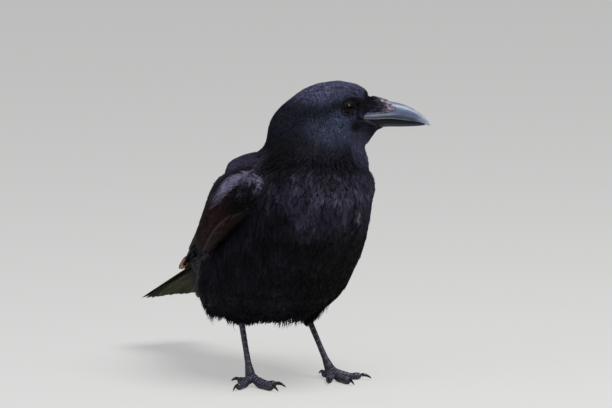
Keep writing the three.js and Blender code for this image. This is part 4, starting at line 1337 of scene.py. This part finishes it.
# Horny plates are satin and paler down the front, with a pale worn line at each scute's end and
# fainter ones round the small scales between, which are about 1.6 mm across.
leg_material, tree, shader = new_material("horny leg scales", Roughness=0.42, IOR=1.5)
spot = add_node(tree, "ShaderNodeTexCoord")
cells = add_node(tree, "ShaderNodeTexVoronoi", {"Vector": spot.outputs["Object"], "Scale": 620.0},
                 feature="DISTANCE_TO_EDGE")
crease = add_node(tree, "ShaderNodeMapRange",
                  {"Value": cells.outputs["Distance"], "From Min": 0.02, "From Max": 0.14,
                   "To Min": 1.0, "To Max": 0.0})
scute = add_node(tree, "ShaderNodeAttribute", attribute_name="scute")
rear = add_node(tree, "ShaderNodeAttribute", attribute_name="rear")
fine = add_node(tree, "ShaderNodeMath", {0: crease.outputs[0], 1: rear.outputs["Fac"]},
                operation="MULTIPLY")
fainter = add_node(tree, "ShaderNodeMath", {0: fine.outputs[0], 1: 0.32}, operation="MULTIPLY")
edge = add_node(tree, "ShaderNodeMath", {0: fainter.outputs[0], 1: scute.outputs["Fac"]},
                operation="MAXIMUM")
plate_colour = add_node(tree, "ShaderNodeMix",
                        {0: rear.outputs["Fac"], 6: linear(SCUTE_GREY), 7: linear(SCALE_DARK)},
                        data_type="RGBA")
colour = add_node(tree, "ShaderNodeMix",
                  {0: edge.outputs[0], 6: plate_colour.outputs[2], 7: linear(SCALE_EDGE)},
                  data_type="RGBA")
bumps = add_node(tree, "ShaderNodeBump",
                 {"Height": edge.outputs[0], "Strength": 0.5, "Distance": 0.4 * MM}, invert=True)
tree.links.new(colour.outputs[2], shader.inputs["Base Color"])
tree.links.new(bumps.outputs["Normal"], shader.inputs["Normal"])
# Claw horn is harder and glossier, with grey clouds 2 or 3 mm across.
claw_material, tree, shader = new_material("glossy black claw horn", Roughness=0.22, IOR=1.54)
spot = add_node(tree, "ShaderNodeTexCoord")
grain = add_node(tree, "ShaderNodeTexNoise",
                 {"Vector": spot.outputs["Object"], "Scale": 400.0, "Detail": 3.0})
colour = add_node(tree, "ShaderNodeMix",
                  {0: grain.outputs["Fac"], 6: linear(CLAW_BLACK), 7: linear(CLAW_GREY)},
                  data_type="RGBA")
tree.links.new(colour.outputs[2], shader.inputs["Base Color"])

for name, (side, ankle, foot, yaw) in LEGS.items():
    toes = [f"toe_{name}_{k}" for k in (1, 2, 3, 4)]
    mesh = melted([f"tarsus_{name}"] + toes, 0.55 * MM, 3)
    leg = Form(mesh)
    q = measures(leg.points)[0]
    ankle, foot = np.array(ankle, float), np.array(foot, float)
    run = foot - ankle
    share = np.clip((q - ankle) @ run / (run @ run), -0.2, 1.2)
    # the shank's top runs on into the thigh, under the cuff
    into_thigh = -unit(run) * 12 * step(share, 0.05, 0.0)[:, None] * MM
    on_shank = step(share, 0.93, 0.85)
    ahead = leg.facing @ unit(np.array((0.0, -1.0, -0.4)))
    front = step(ahead, 0.1, 0.5) * on_shank
    down = share * np.linalg.norm(run)
    beat = (down / SHANK_SCUTE) % 1
    lap = front * beat
    line = front * step(beat, 0.86, 0.97)
    for toe_turn in TOE_TURNS:
        turn = math.radians(yaw + toe_turn) * side
        out = np.array((math.sin(turn), -math.cos(turn)))
        run_out = (q[:, :2] - foot[:2]) @ out
        beside = np.abs((q[:, :2] - foot[:2]) @ np.array((-out[1], out[0])))
        over = step(run_out, 3, 6) * step(beside, 4.4, 3.2) * step(leg.facing[:, 2], 0.1, 0.5)
        over = over * (1 - on_shank)
        beat = (run_out / TOE_SCUTE) % 1
        lap = np.maximum(lap, over * beat)
        line = np.maximum(line, over * step(beat, 0.8, 0.96))
        front = np.maximum(front, over)
    moved = leg.points + leg.facing * ((SCUTE_RISE * lap - 0.1) * MM)[:, None] + into_thigh
    moved[:, 2] = np.maximum(moved[:, 2], 0)
    mesh.vertices.foreach_set("co", moved.ravel())
    mesh.attributes.new("scute", "FLOAT", "POINT").data.foreach_set("value", line)
    mesh.attributes.new("rear", "FLOAT", "POINT").data.foreach_set("value", 1 - front)
    smooth(mesh)
    show(f"leg_{name}", mesh, leg_material, (f"tarsus_{name}", *toes))
    for k in (1, 2, 3, 4):
        solid = bmesh.new()
        solid.from_mesh(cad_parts[f"claw_{name}_{k}"].data)
        bmesh.ops.remove_doubles(solid, verts=solid.verts, dist=1e-6)
        mesh = as_mesh(solid, "claw")
        smooth(mesh)
        claw = show(f"claw_horn_{name}_{k}", mesh, claw_material, (f"claw_{name}_{k}",))
        round_off = claw.modifiers.new("round", "SUBSURF")
        round_off.levels = round_off.render_levels = 2

# ---- Room, lamps and camera ----
# The bird stands on a plain pale floor in the dim pale light of a room, under two wide soft lamps. The
# bright one is above and ahead of it, and a weak bluish one stands to its right.
FLOOR_PALE, FLOOR_SEEN = "#d6d6d3", "#e4e4e1"
ROOM_LIGHT, ROOM_SEEN = "#c9cede", "#dfdfdc"
ground = bmesh.new()
bmesh.ops.create_grid(ground, x_segments=1, y_segments=1, size=30)
floor_mesh = as_mesh(ground, "floor")
floor = bpy.data.objects.new("floor", floor_mesh)
scene.collection.objects.link(floor)
floor_material, floor_tree, floor_shader = new_material("pale matt floor", Roughness=0.9)
floor_shader.inputs["Base Color"].default_value = linear(FLOOR_PALE)
floor_ray = add_node(floor_tree, "ShaderNodeLightPath")
floor_seen = add_node(floor_tree, "ShaderNodeMath", {0: floor_ray.outputs["Is Camera Ray"], 1: 0.55},
                      operation="MULTIPLY")
floor_glow = add_node(floor_tree, "ShaderNodeEmission", {"Color": linear(FLOOR_SEEN), "Strength": 1.0})
floor_both = add_node(floor_tree, "ShaderNodeMixShader",
                      {0: floor_seen.outputs[0], 1: floor_shader.outputs[0], 2: floor_glow.outputs[0]})
floor_tree.links.new(floor_both.outputs[0], floor_tree.nodes["Material Output"].inputs["Surface"])
floor_mesh.materials.append(floor_material)

world = bpy.data.worlds.new("room")
scene.world = world
world.use_nodes = True
room_tree = world.node_tree
room_tree.nodes.clear()
ray = add_node(room_tree, "ShaderNodeLightPath")
seen = add_node(room_tree, "ShaderNodeMath",
                {0: ray.outputs["Is Camera Ray"], 1: ray.outputs["Is Transmission Ray"]},
                operation="MAXIMUM")
lit = add_node(room_tree, "ShaderNodeBackground", {"Color": linear(ROOM_LIGHT), "Strength": 0.25})
pale = add_node(room_tree, "ShaderNodeBackground", {"Color": linear(ROOM_SEEN), "Strength": 1.0})
either = add_node(room_tree, "ShaderNodeMixShader",
                  {0: seen.outputs[0], 1: lit.outputs[0], 2: pale.outputs[0]})
add_node(room_tree, "ShaderNodeOutputWorld", {"Surface": either.outputs[0]})

BREAST_HEIGHT = 150 * MM


def add_lamp(name, at, size, power, colour):
    """A square soft lamp that faces the bird's breast, its size in metres and its power in watts."""
    lamp = bpy.data.lights.new(name, "AREA")
    lamp.size = size
    lamp.energy = power
    lamp.color = linear(colour)[:3]
    fitting = bpy.data.objects.new(name, lamp)
    fitting.location = at
    fitting.rotation_euler = (at - FEET - BREAST_HEIGHT * UP).to_track_quat("Z", "Y").to_euler()
    scene.collection.objects.link(fitting)


# The camera looks from ahead of the bird's right side, a little above it, through a long lens. Its
# middle is given across and up in the picture, in mm from the point between the feet.
CAMERA_TURN, CAMERA_RISE, CAMERA_AWAY = math.radians(-27), math.radians(8), 7.0
AIM_ACROSS, AIM_UP = 14.9, 153
LENS_LENGTH, SENSOR_WIDTH = 484.4, 36
to_camera = Vector((math.sin(CAMERA_TURN) * math.cos(CAMERA_RISE),
                    -math.cos(CAMERA_TURN) * math.cos(CAMERA_RISE), math.sin(CAMERA_RISE)))
picture_right = Vector((math.cos(CAMERA_TURN), math.sin(CAMERA_TURN), 0))
picture_up = to_camera.cross(picture_right)
aim = FEET + (AIM_ACROSS * picture_right + AIM_UP * picture_up) * MM
camera = bpy.data.cameras.new("camera")
camera.lens = LENS_LENGTH
camera.sensor_width = SENSOR_WIDTH
camera.clip_end = 60
viewer = bpy.data.objects.new("camera", camera)
viewer.location = aim + CAMERA_AWAY * to_camera
viewer.rotation_euler = to_camera.to_track_quat("Z", "Y").to_euler()
scene.collection.objects.link(viewer)
scene.camera = viewer

add_lamp("skylight", aim + 0.6 * picture_right + 1.8 * picture_up + 1.2 * to_camera, 1.3, 54, "#ffffff")
add_lamp("fill", aim - 1.6 * picture_right + 1.0 * picture_up + 1.4 * to_camera, 1.4, 8, "#dfe4ff")
scene.view_settings.view_transform = "Standard"
